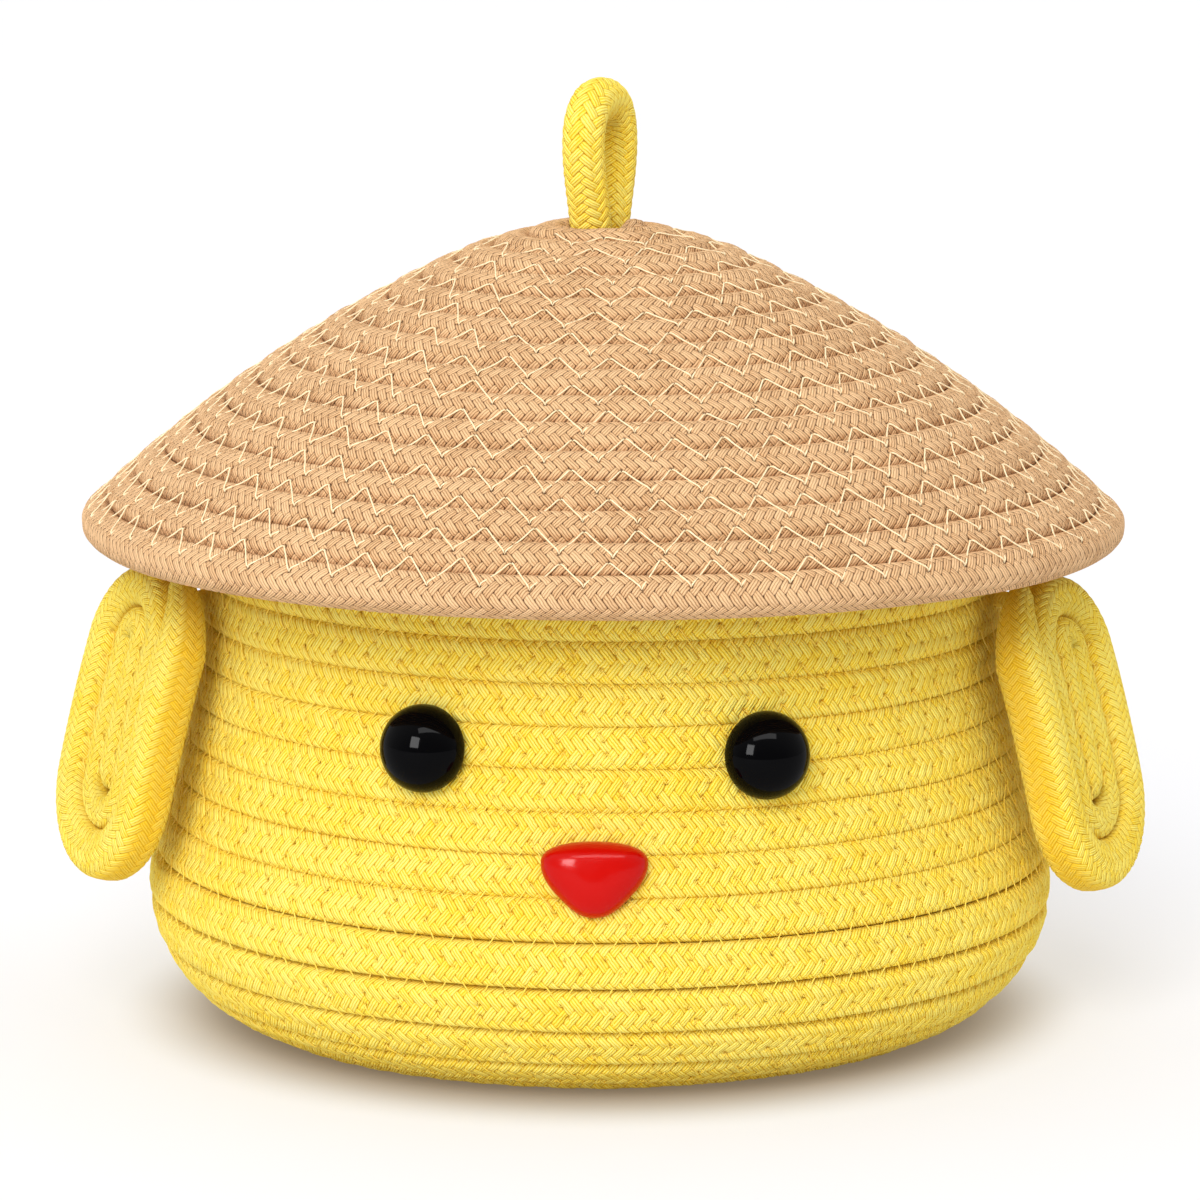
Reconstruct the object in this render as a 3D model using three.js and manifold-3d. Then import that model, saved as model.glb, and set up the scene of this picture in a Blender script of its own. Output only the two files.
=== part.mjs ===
// A lidded storage basket coiled from cotton rope, with a face, two ear-like wings and a rope handle.
// Millimetres, +Z up. The basket's axis is x = y = 0, its base lies on z = 0 and its face looks to -Y.
import * as THREE from 'three';
import { mergeVertices } from 'three/addons/utils/BufferGeometryUtils.js';
import Module from 'manifold-3d';

const wasm = await Module();
wasm.setup();

// Rope: three ropes of one size, sewn turn to turn
const coilThickness = 9.8; // a sewn coil measured through its thickness
const wallPitch = 9.9; // basket rows, centre to centre
const lidPitch = 9.25; // lid rows, sewn tighter
const wingPitch = 7.9; // a wing's inner turns, drawn together by their stitches
const wingThickness = 8.6; // their thickness
const wingBorder = 12.1; // a wing's last turn, a fuller rope
const handleRope = 9.6; // the handle's rope, which isn't sewn down
const turnGap = 0.5; // air between neighbouring turns
const fit = 0.3; // clearance between pieces that touch
const stepsPerTurn = 20;
const innerSteps = 10; // steps of the small turns near a centre
const innerRadius = 52; // turns inside this radius are small
const jog = 0.75; // share of each turn's climb that happens behind the basket

// Basket: flat base, round belly, then a wall that leans in and ends upright
const bellyRadius = 106; // centre line of the widest row
const bellyHeight = 33; // its height above the floor
const shoulderLean = THREE.MathUtils.degToRad(18);
const mouthRadius = 92.5; // centre line of the rim
const baseStart = 5.2; // the rope begins this far from the axis
const frontRowPhase = 5.34; // where the first row passes the front, along the profile
const floorCut = 0.5; // flattened off the rope where it stands
const basketTurns = 22.3; // counted from the front of the base to the rim's end

// Lid: a shallow cone with a round profile, around a hole for the handle's two legs
const lidArc = 335; // radius of its profile
const lidTopSlope = THREE.MathUtils.degToRad(18.8);
const brimLength = 143.8; // centre of the lid to the last row at the front, along the profile
const lidTail = 0.42; // turns that the lid's rope runs on past the front

// Handle: a loop of rope through the lid
const handleTurn = THREE.MathUtils.degToRad(68); // its plane, turned from the face's plane
const handleRise = 38; // from the first turn of the lid, where the legs come out
const handleSpread = 21; // between the legs' centres where they are widest
const legGap = 0.7; // between the legs where they pass the lid
const legBend = 6.5; // radius at which the legs turn under the lid
const legTail = 13; // length sewn flat under the lid

// Wings: flat oval coils, sewn on at their top
const wingCore = 17; // half the straight core
const wingFacing = THREE.MathUtils.degToRad(26); // turned forward of the side
const wingSite = THREE.MathUtils.degToRad(16); // where the wing's middle sits, forward of the side
const wingLean = THREE.MathUtils.degToRad(17); // bottom edge outward
const wingHeight = 79; // middle of the core
const wingStandOff = 0.6; // air between the wall and the wing's top
const wingEnd = THREE.MathUtils.degToRad(60); // how far the last turn runs over the top
const wingTip = 0.35; // thickness left where it has tapered off
const wingBendSteps = 6; // steps of each half circle
const tackWidth = 14; // the sewn tack that holds a wing's top to the wall
const tackHeight = 2.4;
const tackEase = 0.1; // more air for the wing, which thickens towards its rear

// Eyes and nose: moulded plastic, each with a post through the wall and a washer inside
const eyeDiameter = 20;
const eyeDepth = 10;
const eyeEdge = 2; // rounded rim behind the dome
const eyeSpan = 73; // between the eyes' centres
const eyeShift = -1.1; // their middle, to the side
const eyeHeight = 81;
const eyeDrop = 0.7; // half the height between the left eye and the right one
const noseWidth = 24.3;
const noseHeight = 17.5;
const noseDepth = 7.5;
const noseTopShare = 0.32; // of its height, above its centre
const noseEdgeShare = 0.16; // of its depth, where its outline is widest
const noseCentreHeight = 56.5;
const noseShift = -1.2;
const postDiameter = 5;
const postSpare = 2; // post length past the washer
const washerDiameter = 18;
const washerThickness = 1.5;
const collarDiameter = 9;
const collarLength = 3;

// Derived sizes
const half = coilThickness / 2;
const baseHeight = half - floorCut; // of the base's centre line
const bellyArc = bellyHeight - baseHeight;
const flatRadius = bellyRadius - bellyArc;
const shoulderRadius = flatRadius + bellyArc * Math.cos(shoulderLean);
const shoulderHeight = bellyHeight + bellyArc * Math.sin(shoulderLean);
const upperArc = (shoulderRadius - mouthRadius) / (1 - Math.cos(shoulderLean));
const bellyEnd = flatRadius + bellyArc * (Math.PI / 2 + shoulderLean);
const upperEnd = bellyEnd + upperArc * shoulderLean;
const postRadius = postDiameter / 2;
const boreRadius = postRadius + fit;
const facetAngle = (2 * Math.PI) / stepsPerTurn;
const upperTop = shoulderHeight + upperArc * Math.sin(shoulderLean); // where the wall turns upright
const wingOuter = 1.5 * wingPitch + wingBorder / 2; // centre line of a wing's last turn, beside the core
const wingTopDeep = (wingThickness + wingBorder) / 4; // from centre line to face where the wing is sewn on
const front = -Math.PI / 2;
const roundSegments = 24; // around each turned plastic piece

// Materials
const finish = (color, roughness, metalness = 0) => new THREE.MeshStandardMaterial({ color, roughness, metalness });
const yellowRope = finish('#f3d24e', 0.95);
const tanRope = finish('#cfa573', 0.95);
const yellowThread = finish('#efd06a', 0.8);
const blackPlastic = finish('#060607', 0.08);
const redPlastic = finish('#cf1410', 0.15);
const clearPlastic = finish('#e6e4dc', 0.5);

// Turns climbed after t turns: level at the front, climbing behind
const climb = (t) => t - (jog * Math.sin(2 * Math.PI * t)) / (2 * Math.PI);

// The basket's profile: radius, height and lean at a length s from the middle of the base.
// The lean is -90 degrees on the base, 0 where the wall is upright and positive where it leans in.
function wallProfile(s) {
  if (s < flatRadius) return { r: s, z: baseHeight, lean: -Math.PI / 2 };
  if (s < bellyEnd) {
    const lean = -Math.PI / 2 + (s - flatRadius) / bellyArc;
    return { r: flatRadius + bellyArc * Math.cos(lean), z: bellyHeight + bellyArc * Math.sin(lean), lean };
  }
  if (s < upperEnd) {
    const lean = shoulderLean - (s - bellyEnd) / upperArc;
    const r = shoulderRadius - upperArc * (Math.cos(lean) - Math.cos(shoulderLean));
    return { r, z: shoulderHeight + upperArc * (Math.sin(shoulderLean) - Math.sin(lean)), lean };
  }
  return { r: mouthRadius, z: upperTop + s - upperEnd, lean: 0 };
}

// The profile's length at a height above the shoulder
function wallLengthAt(height) {
  if (height > upperTop) return upperEnd + height - upperTop;
  const lean = Math.asin(Math.sin(shoulderLean) - (height - shoulderHeight) / upperArc);
  return bellyEnd + upperArc * (shoulderLean - lean);
}

// The lid rests on the rim's end, which fixes its height
const rimLength = frontRowPhase + wallPitch * climb(basketTurns);
const rim = wallProfile(rimLength);
const arcCentreRadius = -lidArc * Math.sin(lidTopSlope);
const seatRadius = lidArc - coilThickness - fit;
const arcCentreHeight = rim.z - Math.sqrt(seatRadius ** 2 - (rim.r - arcCentreRadius) ** 2);
const lidTop = arcCentreHeight + lidArc * Math.cos(lidTopSlope);

// The lid's profile at a length s from its middle. The slope is its fall below level.
function lidProfile(s) {
  const slope = lidTopSlope + s / lidArc;
  return { r: arcCentreRadius + lidArc * Math.sin(slope), z: arcCentreHeight + lidArc * Math.cos(slope), slope };
}

// A sewn coil's section: flat inside and outside, pointed where turns meet. Along the profile, then through it.
function section(wide, deep) {
  const side = wide / 2;
  return [[side, 0], [side / 2, deep], [-side / 2, deep], [-side, 0], [-side / 2, -deep], [side / 2, -deep]];
}

// A closed body through rings of points, with flat ends
function skin(rings) {
  const sides = rings[0].length;
  const position = rings.flat().flatMap((p) => [p.x, p.y, p.z]);
  const index = [];
  for (let i = 0; i + 1 < rings.length; i += 1) {
    for (let j = 0; j < sides; j += 1) {
      const a = i * sides + j;
      const b = i * sides + ((j + 1) % sides);
      index.push(a, b, a + sides, b, b + sides, a + sides);
    }
  }
  const last = (rings.length - 1) * sides;
  for (let j = 1; j + 1 < sides; j += 1) {
    index.push(0, j + 1, j, last, last + j, last + j + 1);
  }
  const geometry = new THREE.BufferGeometry();
  geometry.setAttribute('position', new THREE.Float32BufferAttribute(position, 3));
  geometry.setIndex(index);
  if (signedVolume(geometry) < 0) index.reverse();
  geometry.setIndex(index);
  return geometry;
}

function signedVolume(geometry) {
  const p = geometry.getAttribute('position');
  const corner = [0, 1, 2].map(() => new THREE.Vector3());
  let sum = 0;
  for (let i = 0; i < geometry.index.count; i += 3) {
    corner.forEach((c, k) => c.fromBufferAttribute(p, geometry.index.getX(i + k)));
    sum += corner[0].dot(corner[1].clone().cross(corner[2])) / 6;
  }
  return sum;
}

// The least gap between turns of one tube, on its rings' points and the middles between them
function leastGap(name, rings, apart) {
  const points = rings.map((ring, i) => {
    const next = rings[i + 1] ?? ring;
    return ring.flatMap((p, j) => [p, p.clone().lerp(next[j], 0.5)]);
  });
  let least = Infinity;
  for (let i = 0; i < points.length; i += 1) {
    for (let k = i + apart; k < points.length; k += 1) {
      for (const a of points[i]) {
        for (const b of points[k]) least = Math.min(least, a.distanceToSquared(b));
      }
    }
  }
  console.log(`${name}: least gap between its turns ${Math.sqrt(least).toFixed(2)} mm`);
}

const solid = (geometry) => {
  const bare = geometry.clone();
  bare.deleteAttribute('normal');
  bare.deleteAttribute('uv');
  const merged = mergeVertices(bare, 1e-4);
  const vertProperties = new Float32Array(merged.getAttribute('position').array);
  const triVerts = new Uint32Array(merged.index.array);
  return new wasm.Manifold(new wasm.Mesh({ numProp: 3, vertProperties, triVerts }));
};

const shape = (manifold) => {
  const mesh = manifold.getMesh();
  const geometry = new THREE.BufferGeometry();
  geometry.setAttribute('position', new THREE.Float32BufferAttribute(mesh.vertProperties, 3));
  geometry.setIndex([...mesh.triVerts]);
  return geometry;
};

// The angles at which a coil has rings: every step, and every second one near the centre
function* turnSteps(from, to, radiusAt) {
  const first = Math.ceil(from * stepsPerTurn + 1e-6);
  const last = Math.floor(to * stepsPerTurn - 1e-6);
  yield from;
  for (let i = first; i <= last; i += 1) {
    const t = i / stepsPerTurn;
    const coarse = stepsPerTurn / innerSteps;
    if (radiusAt(t) > innerRadius || i % coarse === 0) yield t;
  }
  yield to;
}

// Rings of a coil, flattened where it stands on the floor. hand is 1 where it runs counter-clockwise seen from
// above, and -1 where it runs clockwise.
function coilRings({ from, to, lengthAt, profile, tangent, hand, pitch }) {
  const rings = [];
  for (const t of turnSteps(from, to, (u) => profile(lengthAt(u)).r)) {
    const here = profile(lengthAt(t));
    const [along, through] = tangent(here);
    const angle = front + hand * 2 * Math.PI * t;
    rings.push(section(pitch - turnGap, half).map(([a, b]) => {
      const r = here.r + a * along[0] + b * through[0];
      const z = Math.max(0, here.z + a * along[1] + b * through[1]);
      return new THREE.Vector3(r * Math.cos(angle), r * Math.sin(angle), z);
    }));
  }
  return rings;
}

// The first step at which a coil has reached a length along its profile
function turnsAt(length, lengthAt) {
  let step = Math.floor(-basketTurns * innerSteps);
  while (lengthAt(step / innerSteps) < length) step += 1;
  return step / innerSteps;
}

// The basket's rope, from the middle of the base to the rim
const wallLength = (t) => frontRowPhase + wallPitch * climb(t);
const basketRings = coilRings({
  from: turnsAt(baseStart, wallLength),
  to: basketTurns,
  lengthAt: wallLength,
  profile: wallProfile,
  tangent: ({ lean }) => [[-Math.sin(lean), Math.cos(lean)], [Math.cos(lean), Math.sin(lean)]],
  hand: -1,
  pitch: wallPitch,
});
leastGap('basket_rope', basketRings, innerSteps / 2);

// The lid's rope, from the turn that hugs the handle's legs to the brim
const lidSide = (lidPitch - turnGap) / 2;
const legSpace = handleRope + legGap / 2;
const lidStart = (legSpace + fit + lidSide) / Math.cos(lidTopSlope);
const lidLength = (t) => brimLength + lidPitch * climb(t);
const lidRings = coilRings({
  from: turnsAt(lidStart, lidLength),
  to: lidTail,
  lengthAt: lidLength,
  profile: lidProfile,
  tangent: ({ slope }) => [[Math.cos(slope), -Math.sin(slope)], [Math.sin(slope), Math.cos(slope)]],
  hand: 1,
  pitch: lidPitch,
});
leastGap('lid_rope', lidRings, innerSteps / 2);

// Handle: a tube along a path in an upright plane, from one sewn-down end to the other
function handleRings() {
  const rope = handleRope / 2;
  const leg = (handleRope + legGap) / 2;
  const crown = handleSpread / 2;
  const neck = lidProfile(lidStart).z;
  const crownHeight = neck + handleRise - rope - crown;
  // Each end lies along the underside of the lid, which is a little low between the corners of its turns
  const sag = (lidStart + legTail) * (1 - Math.cos(Math.PI / innerSteps)) * Math.tan(lidTopSlope);
  const under = lidProfile(lidStart + legTail);
  const deep = half + fit + sag + rope;
  const end = [under.r - deep * Math.sin(under.slope), under.z - deep * Math.cos(under.slope)];
  const bendX = leg + legBend * (1 - Math.sin(under.slope));
  const bendZ = end[1] + (end[0] - bendX) * Math.tan(under.slope) + legBend * Math.cos(under.slope);
  const right = [end];
  const bendSteps = 3;
  for (let i = bendSteps; i >= 0; i -= 1) {
    const a = ((Math.PI / 2 - under.slope) * i) / bendSteps;
    right.push([leg + legBend * (1 - Math.cos(a)), bendZ - legBend * Math.sin(a)]);
  }
  const openSteps = 5;
  for (let i = 0; i < openSteps; i += 1) {
    const k = i / openSteps;
    right.push([leg + (crown - leg) * k * k * (3 - 2 * k), neck + (crownHeight - neck) * k]);
  }
  const crownSteps = 8;
  const over = [];
  for (let i = 0; i <= crownSteps; i += 1) {
    const a = (Math.PI * i) / crownSteps;
    over.push([crown * Math.cos(a), crownHeight + crown * Math.sin(a)]);
  }
  const left = right.map(([x, z]) => [-x, z]).reverse();
  const path = [...right, ...over, ...left].map(([x, z]) => new THREE.Vector2(x, z));
  const sides = 8;
  return path.map((p, i) => {
    const before = path[Math.max(i - 1, 0)];
    const after = path[Math.min(i + 1, path.length - 1)];
    const along = after.clone().sub(before).normalize();
    const across = new THREE.Vector2(-along.y, along.x);
    return Array.from({ length: sides }, (_, j) => {
      const a = (2 * Math.PI * (j + 0.5)) / sides;
      const point = new THREE.Vector3(p.x, 0, p.y);
      point.x += across.x * rope * Math.cos(a);
      point.y += rope * Math.sin(a);
      point.z += across.y * rope * Math.cos(a);
      return point.applyAxisAngle(new THREE.Vector3(0, 0, 1), handleTurn);
    });
  });
}

// Wing: an oval coil of half circles and straight runs in its own plane, whose rope swells to the fuller last
// turn on the way over the top. +X is its front edge, +Y its top and +Z its outer face.
function wingRings() {
  const inner = { wide: wingPitch - turnGap, deep: wingThickness / 2 };
  const outer = { wide: wingBorder - 2 * turnGap, deep: wingBorder / 2 }; // the full rope is rounder
  const tip = { wide: outer.wide * wingTip, deep: outer.deep * wingTip };
  const path = [];
  const bend = (centreX, centreY, radius, start, sweep, from, to, drift = 0) => {
    const steps = Math.round((wingBendSteps * sweep) / Math.PI);
    for (let i = 0; i <= steps; i += 1) {
      const k = i / steps;
      const a = start + sweep * k;
      const reach = radius + drift * k;
      path.push({
        x: centreX + reach * Math.cos(a),
        y: centreY + reach * Math.sin(a),
        a,
        wide: from.wide + (to.wide - from.wide) * k,
        deep: from.deep + (to.deep - from.deep) * k,
      });
    }
  };
  const overX = (wingPitch - wingOuter) / 2;
  path.push({ x: 0, y: -wingCore, a: 0, ...inner });
  bend(-wingPitch / 2, wingCore, wingPitch / 2, 0, Math.PI, inner, inner);
  bend(0, -wingCore, wingPitch, -Math.PI, Math.PI, inner, inner);
  bend(overX, wingCore, wingOuter + overX, 0, Math.PI, inner, outer);
  bend(0, -wingCore, wingOuter, -Math.PI, Math.PI, outer, outer);
  // The end lies on the swelling turn and tapers towards it
  const swelling = ((outer.wide - inner.wide) / 2) * (wingEnd / Math.PI);
  const drift = swelling - (outer.wide - tip.wide) / 2;
  bend(overX, wingCore, wingOuter - overX, 0, wingEnd, outer, tip, drift);
  return path.map(({ x, y, a, wide, deep }) => section(wide, deep).map(([along, through]) => (
    new THREE.Vector3(x + along * Math.cos(a), y + along * Math.sin(a), through))));
}
leastGap('wing', wingRings(), wingBendSteps + 1);

// A place on the wall at a sideways offset and a height: the point on the rope's centre line, the way out, and
// how much further in a flat washer lies where it spans a corner of the coil. Off a corner, a piece faces out of
// the flat it lies on.
function wallSeat(offset, height, onCorner) {
  const here = wallProfile(wallLengthAt(height));
  const azimuth = Math.asin(offset / here.r);
  const flat = (Math.floor(azimuth / facetAngle) + 0.5) * facetAngle;
  const facing = onCorner ? azimuth : flat;
  const apothem = here.r * Math.cos(facetAngle / 2);
  const reach = onCorner ? here.r : apothem / Math.cos(azimuth - flat);
  const at = new THREE.Vector3(reach * Math.sin(azimuth), -reach * Math.cos(azimuth), here.z);
  const level = Math.cos(here.lean);
  const out = new THREE.Vector3(level * Math.sin(facing), -level * Math.cos(facing), Math.sin(here.lean));
  const washer = washerDiameter / 2;
  const beside = washer + apothem * Math.abs(Math.tan(azimuth - flat)) - (here.r - half) * Math.sin(facetAngle / 2);
  const inset = onCorner ? washer * Math.tan(facetAngle / 2) : Math.max(0, beside) * Math.tan(facetAngle);
  return { at, out, inset };
}

const up = new THREE.Vector3(0, 1, 0);
const setOn = (mesh, { at, out }, distance) => {
  mesh.quaternion.setFromUnitVectors(up, out);
  mesh.position.copy(at).addScaledVector(out, distance);
  return mesh;
};
const named = (name, geometry, material) => {
  const mesh = new THREE.Mesh(geometry, material);
  mesh.name = name;
  return mesh;
};
const lathe = (points, segments) => (
  new THREE.LatheGeometry(points.map(([x, y]) => new THREE.Vector2(x, y)), segments));

// A post reaches from a piece's flat back through the wall and the washer
const postLength = (inset) => (
  fit + coilThickness + fit + inset + washerThickness + collarLength + postSpare);

// Eye: a glossy dome on its post, its back at y = 0
function eyeGeometry(inset) {
  const radius = eyeDiameter / 2;
  const post = postLength(inset);
  const rise = eyeDepth - eyeEdge;
  const points = [[0, -post], [postRadius, -post], [postRadius, 0], [radius - eyeEdge, 0], [radius, eyeEdge]];
  const domeRings = 7;
  for (let i = 1; i < domeRings; i += 1) {
    const a = (Math.PI / 2) * (i / domeRings);
    points.push([radius * Math.cos(a), eyeEdge + rise * Math.sin(a)]);
  }
  points.push([0, eyeDepth]);
  return lathe(points, roundSegments);
}

// Washer: a disc with a collar that grips the post, its flat side at y = 0
function washerGeometry() {
  const deep = washerThickness + collarLength;
  const collar = collarDiameter / 2;
  const rim = washerDiameter / 2;
  return lathe([
    [boreRadius, 0], [boreRadius, -deep], [collar, -deep], [collar, -washerThickness],
    [rim, -washerThickness], [rim, 0], [boreRadius, 0],
  ], roundSegments);
}

// Nose: a rounded triangle, point down, swelling to a smooth front. Its outline lies in x and z, its back at y = 0.
function noseGeometry(inset) {
  const wide = noseWidth / 2;
  const top = noseHeight * noseTopShare;
  const tip = noseHeight - top;
  const outline = new THREE.Shape();
  outline.moveTo(0, -tip);
  outline.bezierCurveTo(wide * 0.26, -tip, wide * 0.45, -tip * 0.72, wide * 0.71, -tip * 0.46);
  outline.bezierCurveTo(wide * 0.92, -tip * 0.24, wide * 1.05, -tip * 0.05, wide, top * 0.28);
  outline.bezierCurveTo(wide * 0.94, top * 0.8, wide * 0.5, top, 0, top);
  outline.bezierCurveTo(-wide * 0.5, top, -wide * 0.94, top * 0.8, -wide, top * 0.28);
  outline.bezierCurveTo(-wide * 1.05, -tip * 0.05, -wide * 0.92, -tip * 0.24, -wide * 0.71, -tip * 0.46);
  outline.bezierCurveTo(-wide * 0.45, -tip * 0.72, -wide * 0.26, -tip, 0, -tip);
  const around = outline.getSpacedPoints(28).slice(0, -1);
  const ring = (scale, y) => around.map((p) => new THREE.Vector3(p.x * scale, y, -p.y * scale));
  const edge = noseDepth * noseEdgeShare;
  const rings = [ring(0.93, 0), ring(1, edge)];
  for (const k of [0.25, 0.5, 0.72, 0.9]) {
    rings.push(ring(Math.sqrt(1 - k * k), edge + (noseDepth - edge) * k));
  }
  rings.push(ring(0.12, noseDepth));
  const rooted = 1;
  const length = postLength(inset) + rooted;
  const post = new THREE.CylinderGeometry(postRadius, postRadius, length, roundSegments);
  post.translate(0, rooted - length / 2, 0);
  return shape(solid(skin(rings)).add(solid(post)));
}

// Wing placement: its plane leans out from a seat by the wall's top
function wingPlacement() {
  const topAlong = wingCore + (wingPitch + wingOuter) / 2;
  const seatHeight = wingHeight + topAlong * Math.cos(wingLean);
  const wall = wallProfile(wallLengthAt(seatHeight));
  const topDistance = wall.r + half + wingStandOff + wingBorder / 2 / Math.cos(wingLean);
  const distance = topDistance + topAlong * Math.sin(wingLean);
  const middle = distance / Math.cos(wingFacing - wingSite);
  const level = new THREE.Vector3(Math.cos(wingFacing), -Math.sin(wingFacing), 0);
  const out = level.clone().multiplyScalar(Math.cos(wingLean)).setZ(Math.sin(wingLean));
  const frontward = new THREE.Vector3(-Math.sin(wingFacing), -Math.cos(wingFacing), 0);
  const upward = new THREE.Vector3().crossVectors(out, frontward).negate();
  const at = new THREE.Vector3(middle * Math.cos(wingSite), -middle * Math.sin(wingSite), wingHeight);
  return { at, out, frontward, upward, level, wall, topAlong, topDistance };
}
const wing = wingPlacement();

// A point of the right wing, from its place along the front edge, up the wing and out of it
const onWing = (x, y, z) => wing.at.clone()
  .addScaledVector(wing.frontward, x).addScaledVector(wing.upward, y).addScaledVector(wing.out, z);

const mirrored = (points, side) => points.map((p) => new THREE.Vector3(side * p.x, p.y, p.z));

const wingMesh = (name, side) => named(
  name, skin(wingRings().map((ring) => mirrored(ring.map((p) => onWing(p.x, p.y, p.z)), side))), yellowRope);

// The stitched tack that holds a wing to the wall: it fills the space between them, just under the wing's top
function tackMesh(name, side) {
  const back = -wingTopDeep - fit - tackEase;
  const wingFace = [-tackHeight / 2, tackHeight / 2].map((h) => onWing(0, wing.topAlong + h, back));
  const azimuthOf = (p) => Math.atan2(p.x, -p.y);
  const face = (x) => wingFace.map((p) => p.clone().addScaledVector(wing.frontward, x));
  const wallFace = (points) => points.map((p) => {
    const flat = (Math.floor(azimuthOf(p) / facetAngle) + 0.5) * facetAngle;
    const reach = (wing.wall.r + half) * Math.cos(facetAngle / 2) + fit;
    const depth = p.x * Math.sin(flat) - p.y * Math.cos(flat) - reach;
    const slant = wing.level.x * Math.sin(flat) - wing.level.y * Math.cos(flat);
    return p.clone().addScaledVector(wing.level, -depth / slant);
  });
  const ends = [-tackWidth / 2, tackWidth / 2].map((x) => {
    const [low, high] = face(x);
    const [innerLow, innerHigh] = wallFace([low, high]);
    return [low, high, innerHigh, innerLow];
  });
  return named(name, skin(ends.map((ring) => mirrored(ring, side))), yellowThread);
}

// Facts that the record repeats
const topWide = (wingPitch + wingBorder) / 2 - turnGap;
const hinge = onWing(0, wing.topAlong + topWide / 2, -wingTopDeep);
const show = (v) => v.toArray().map((n) => Number(n.toFixed(2)));
console.log('lid top', (lidTop + half).toFixed(2), 'brim', lidProfile(brimLength), 'rim', rim);
console.log('right wing hinge', show(hinge), 'axis', show(wing.frontward));

// Assembly
const basket = new THREE.Group();
const fittings = [
  { name: 'eye_left', washer: 'eye_left_washer', seat: wallSeat(eyeShift - eyeSpan / 2, eyeHeight + eyeDrop) },
  { name: 'eye_right', washer: 'eye_right_washer', seat: wallSeat(eyeShift + eyeSpan / 2, eyeHeight - eyeDrop) },
  { name: 'nose', washer: 'nose_washer', seat: wallSeat(noseShift, noseCentreHeight, true) },
];
let basketSolid = solid(skin(basketRings));
for (const { name, washer, seat } of fittings) {
  const geometry = name === 'nose' ? noseGeometry(seat.inset) : eyeGeometry(seat.inset);
  const piece = named(name, geometry, name === 'nose' ? redPlastic : blackPlastic);
  basket.add(setOn(piece, seat, half + fit));
  basket.add(setOn(named(washer, washerGeometry(), clearPlastic), seat, -half - fit - seat.inset));
  const bore = setOn(new THREE.Mesh(new THREE.CylinderGeometry(boreRadius, boreRadius, 3 * coilThickness, 16)), seat, 0);
  bore.updateMatrix();
  basketSolid = basketSolid.subtract(solid(bore.geometry.applyMatrix4(bore.matrix)));
}
basket.add(named('basket_rope', shape(basketSolid), yellowRope));
basket.add(tackMesh('wing_left_tack', -1), tackMesh('wing_right_tack', 1));
basket.add(wingMesh('wing_left', -1), wingMesh('wing_right', 1));
basket.add(named('lid_rope', skin(lidRings), tanRope));
basket.add(named('handle_loop', skin(handleRings()), yellowRope));

export default basket;
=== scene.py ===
"""Looks of a lidded basket coiled from braided cotton rope, with a face, two wings and a rope handle.

Lengths are millimetres until a mesh is made. The basket's axis is x = y = 0, its base lies on z = 0 and
its face looks to -Y.
"""
import functools
import math

import bpy
import numpy as np
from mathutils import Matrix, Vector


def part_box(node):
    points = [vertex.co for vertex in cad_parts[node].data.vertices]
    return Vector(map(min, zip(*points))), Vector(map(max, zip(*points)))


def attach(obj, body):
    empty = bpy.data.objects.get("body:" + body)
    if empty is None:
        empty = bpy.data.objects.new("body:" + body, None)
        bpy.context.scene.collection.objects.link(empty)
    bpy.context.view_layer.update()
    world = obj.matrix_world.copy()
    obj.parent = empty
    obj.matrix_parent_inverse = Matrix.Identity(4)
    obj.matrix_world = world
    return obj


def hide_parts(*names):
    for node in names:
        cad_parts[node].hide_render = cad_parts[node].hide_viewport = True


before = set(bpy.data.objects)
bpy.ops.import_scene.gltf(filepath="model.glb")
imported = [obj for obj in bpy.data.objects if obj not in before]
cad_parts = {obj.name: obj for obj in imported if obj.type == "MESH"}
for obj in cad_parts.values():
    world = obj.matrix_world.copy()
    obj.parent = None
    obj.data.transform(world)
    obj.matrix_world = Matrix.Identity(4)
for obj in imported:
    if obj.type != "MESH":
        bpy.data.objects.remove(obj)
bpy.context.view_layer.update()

MM = 0.001
UP = np.array([0.0, 0.0, 1.0])
FULL_TURN = 2 * np.pi
TINY = 0.02  # size of a surface's last ring, where it closes on its axis

# Rope
COIL_THICKNESS = 9.8
WALL_PITCH = 9.9
LID_PITCH = 9.25
WING_PITCH = 7.9
WING_THICKNESS = 8.6
WING_BORDER = 12.1  # width and thickness of a wing's last turn
HANDLE_ROPE = 10.2
WING_OVERLAP = 0.5  # by which neighbouring turns press into each other
FREE_SIDE = 0.4  # share by which a coil's last turn is thinner at its free side
FREE_TURNS = (-1.1, -0.9)  # from a coil's end, where its side becomes free

# Mesh of a rope: distances between rings, and between points that face out, in and sideways
RING_STEP = 0.55
COIL_STEPS = (0.52, 0.9, 2.2)
HANDLE_RING_STEP = 0.4
HANDLE_STEPS = (0.45,) * 3
WING_RING_STEP = 0.45
WING_STEPS = (0.4, 0.6, 1.4)
SECTION_SAMPLES = 2001
COIL_SAMPLES = 20001
LEAST_RINGS = 40  # in a piece that is cut from a coil
BAKE_STRIP = 31.0  # length of rope that suits one strip of its bake map

# Braid: two families of strands that cross, each over two and under two
STRANDS = 10  # in a family, an even number
STRAND_STEP = 2.5  # from one strand to the next, along the rope
STRAND_RELIEF = 0.3
STRAND_LEVEL = 0.75  # height in the relief that lies on the section's outline
BRAID_REPEAT = 4  # strands after which the pattern repeats
FLOAT_STRANDS = 2  # strands that one strand passes over
DIVE_LEVEL = 0.3  # share of its height that a strand keeps where it goes under

# Waves along a rope that make it uneven: amount, wavelength and number
LONG_TWIST = (90, 0)  # its amount is the rope's turning
SHORT_TWIST = (0.15, 23, 1)
STRETCH_WAVES = ((1.2, 60, 2), (0.25, 11, 6))
SIZE_WAVE = (0.012, 35, 3)
SWAY_WAVES = ((0.14, 80, 4), (0.08, 17, 5))

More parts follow.
